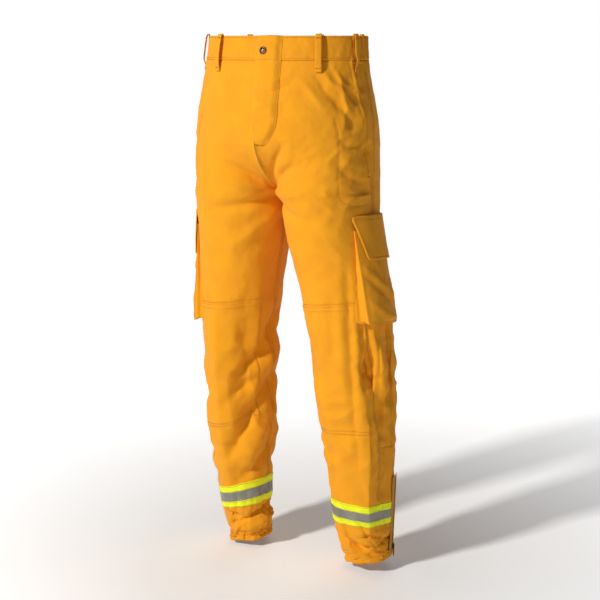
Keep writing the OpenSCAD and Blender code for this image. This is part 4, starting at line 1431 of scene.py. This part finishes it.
FLAP_EDGE_IN = 4.0
for s in SIDES:
    lines = []
    for only, line, _, twice in SEAMS:
        if only in (None, s):
            round_knee = line[0][1] in (523, 762) and line[1][1] in (523, 762)
            lines += sewn(s, line, 1.5 if round_knee else 0.35, twice)
    for d in (4, BAND_H - 4):
        lines += level(s, d, FLY_EDGE + 0.004 if s > 0 else 0.004, 0.998, 1.15, parts=5)
    lines += sewn(s, [(KNEE[0] + 0.006, KNEE[2] + 12), (KNEE[1] - 0.006, KNEE[2] + 12)], 1.4)
    for d in (1040, TRIM[0] + 2, TRIM[1] - 2, TRIM[2] + 2, TRIM[3] - 2):
        lines += level(s, d, 0.004, 0.996, 1.6)
    u0, u1 = REAR[0] + 0.012, REAR[1] - 0.012
    lines += sewn(s, [(u0, REAR_OPEN + 40), (u0, REAR_LOW - 19), (REAR[0] + 0.045, REAR_LOW - 5),
                      (REAR[1] - 0.045, REAR_LOW - 5), (u1, REAR_LOW - 19), (u1, REAR_OPEN + 40)],
                  1.75, True)
    u0 = PLACKET[0] + 0.012
    lines += sewn(s, [(u0, PLACKET[2] + 5), (u0, PLACKET[3] - 5)], 2.9)
    lines += bartack(s, 0.476, 262, 0.9)
    lines += bartack(s, 0.405, 52, 0.6)
    add(thread(full_name("_stitching", s), lines))

    low = CARGO_LOW - 5
    row = [(-half + 4, FLAP_LOW + 4), (-half + 4, low - 6), (-half + 10, low), (half - 10, low),
           (half - 4, low - 6), (half - 4, FLAP_LOW + 4)]
    line = cargo_line(s, row, lambda a, d: pocket_relief(s, a, d) + 0.2)
    add(thread(full_name("_cargo_face_stitching", s), [line]))
    slant_at = (FLAP_LOW - FLAP_EDGE_IN - CARGO_TOP) / (FLAP_LOW - CARGO_TOP)
    row = [(-half - 3 + 5, CARGO_TOP + 14), (-half + 2 + FLAP_SLANT * slant_at + 1, FLAP_LOW - 9),
           (-half + 8 + FLAP_SLANT, FLAP_LOW - 5), (half - 6, FLAP_LOW - 5),
           (half - 2, FLAP_LOW - 9), (half - 2, CARGO_TOP + 14)]
    add(thread(full_name("_cargo_flap_stitching", s), [cargo_line(s, row, on_flap)]),
        body="_cargo_flap_body")
    lines = [cargo_line(s, [(-half, CARGO_TOP - up), (half, CARGO_TOP - up)], on_flap)
             for up in (7, 1.5)]
    add(thread(full_name("_cargo_header_stitching", s), lines))

lines = []
for from_edge in (3.5, 9):
    d = np.linspace(BAND_H + 3, 190, 60)
    x = np.maximum(sewn_edge(d) - from_edge, 2)
    lines.append(stitch_line(front_skin(x, d, 2.2), front_normal(x, d)))
d = np.linspace(3, 42, 16)
lines.append(stitch_line(front_skin(36.0 + 0 * d, d, 4.9), front_normal(36.0 + 0 * d, d)))
add(thread("fly_stitching", lines))
lines = []
for s, u in LOOPS:
    for d, out in ((6, 8.9), (60, 4.9)):
        lines += bartack(s, u, d, out, width=11)
add(thread("belt_loop_bartacks", lines, radius=0.34))

# ---- CAD pieces that stay: the sliders and their pulls ----
for zip_name, mat in (("fly", BRASS), ("left_leg", SNAP), ("right_leg", SNAP)):
    for part in ("slider", "pull"):
        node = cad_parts[f"{zip_name}_{part}"]
        node.data.materials.clear()
        node.data.materials.append(mat)

# ---- Stage, light and camera ----
FLOOR_Z = cad_box[0][2] - 0.002
FLOOR_R = 1.5


def floor_material():
    """A pale floor that glows a little towards its edge, like a lit white studio sweep."""
    s = Shader("pale_floor", rough=0.9, specular=0.1)
    s.link(s.ramp(s.noise(3, 2), (0.2, 0.9), (0.8, 0.93)), "Base Color")
    small = s.node("Mapping", Vector=s.solid, Scale=(1 / FLOOR_R, 1 / FLOOR_R, 0)).outputs[0]
    near = s.node("TexGradient", settings={"gradient_type": "SPHERICAL"}, Vector=small)
    s.main.inputs["Emission Color"].default_value = (1, 1, 1, 1)
    s.link(s.ramp(near.outputs["Fac"], (0.0, 0.75), (0.8, 0.12)), "Emission Strength")
    return s.material


turns = np.linspace(0, 2 * math.pi, 96, endpoint=False)
floor = mesh_object("floor", [(FLOOR_R * math.cos(t), FLOOR_R * math.sin(t), 0) for t in turns],
                    [range(96)])
floor.location.z = FLOOR_Z
floor.data.materials.append(floor_material())

AIM = Vector((0, 0, -0.52))


def area_light(name, azimuth, elevation, distance, size, power, colour):
    a, e = math.radians(azimuth), math.radians(elevation)
    light = bpy.data.lights.new(name, "AREA")
    light.energy, light.size, light.color = power, size, colour
    ob = bpy.data.objects.new(name, light)
    bpy.context.scene.collection.objects.link(ob)
    ob.location = AIM + distance * Vector((math.sin(a) * math.cos(e), -math.cos(a) * math.cos(e),
                                           math.sin(e)))
    ob.rotation_euler = (AIM - ob.location).to_track_quat("-Z", "Y").to_euler()


area_light("key", -23, 32, 4.6, 0.4, 198, (1.0, 0.985, 0.96))
area_light("fill", 75, 20, 3.6, 2.2, 2, (0.95, 0.97, 1.0))
area_light("back", 190, 50, 3.4, 2.4, 16, (1.0, 1.0, 1.0))

world = bpy.data.worlds.new("studio")
world.use_nodes = True
sky = world.node_tree.nodes
links = world.node_tree.links


def sky_part(direction, stops):
    """A grey that changes with how far the sky's direction is along another."""
    along = sky.new("ShaderNodeVectorMath")
    along.operation = "DOT_PRODUCT"
    along.inputs[1].default_value = direction
    ramp = sky.new("ShaderNodeValToRGB")
    links.new(sky.new("ShaderNodeTexCoord").outputs["Generated"], along.inputs[0])
    links.new(along.outputs["Value"], ramp.inputs["Fac"])
    for element, (place, grey) in zip(ramp.color_ramp.elements, stops):
        element.position, element.color = place, (grey, grey, grey, 1)
    return ramp.outputs["Color"]


# White behind the trousers, a little dimmer in front of them, dim above
both = sky.new("ShaderNodeMixRGB")
both.blend_type = "MULTIPLY"
both.inputs["Fac"].default_value = 1
links.new(sky_part((-math.sin(0.49), math.cos(0.49), -0.1), ((0.45, 0.45), (0.86, 1.0))),
          both.inputs["Color1"])
links.new(sky_part((0, 0, 1), ((0.05, 1.0), (0.35, 0.12))), both.inputs["Color2"])
links.new(both.outputs["Color"], sky["Background"].inputs["Color"])
bpy.context.scene.world = world
bpy.context.scene.view_settings.view_transform = "Standard"

CAMERA_TURN = 28
CAMERA_AWAY = 2.45
CAMERA_HEIGHT = -0.005
camera = bpy.data.cameras.new("camera")
camera.lens = 74.7
camera.sensor_width = 36
camera.shift_x = 0.0217
eye = bpy.data.objects.new("camera", camera)
bpy.context.scene.collection.objects.link(eye)
t = math.radians(CAMERA_TURN)
eye.location = (CAMERA_AWAY * math.sin(t), -CAMERA_AWAY * math.cos(t), CAMERA_HEIGHT)
eye.rotation_euler = (AIM - eye.location).to_track_quat("-Z", "Y").to_euler()
bpy.context.scene.camera = eye
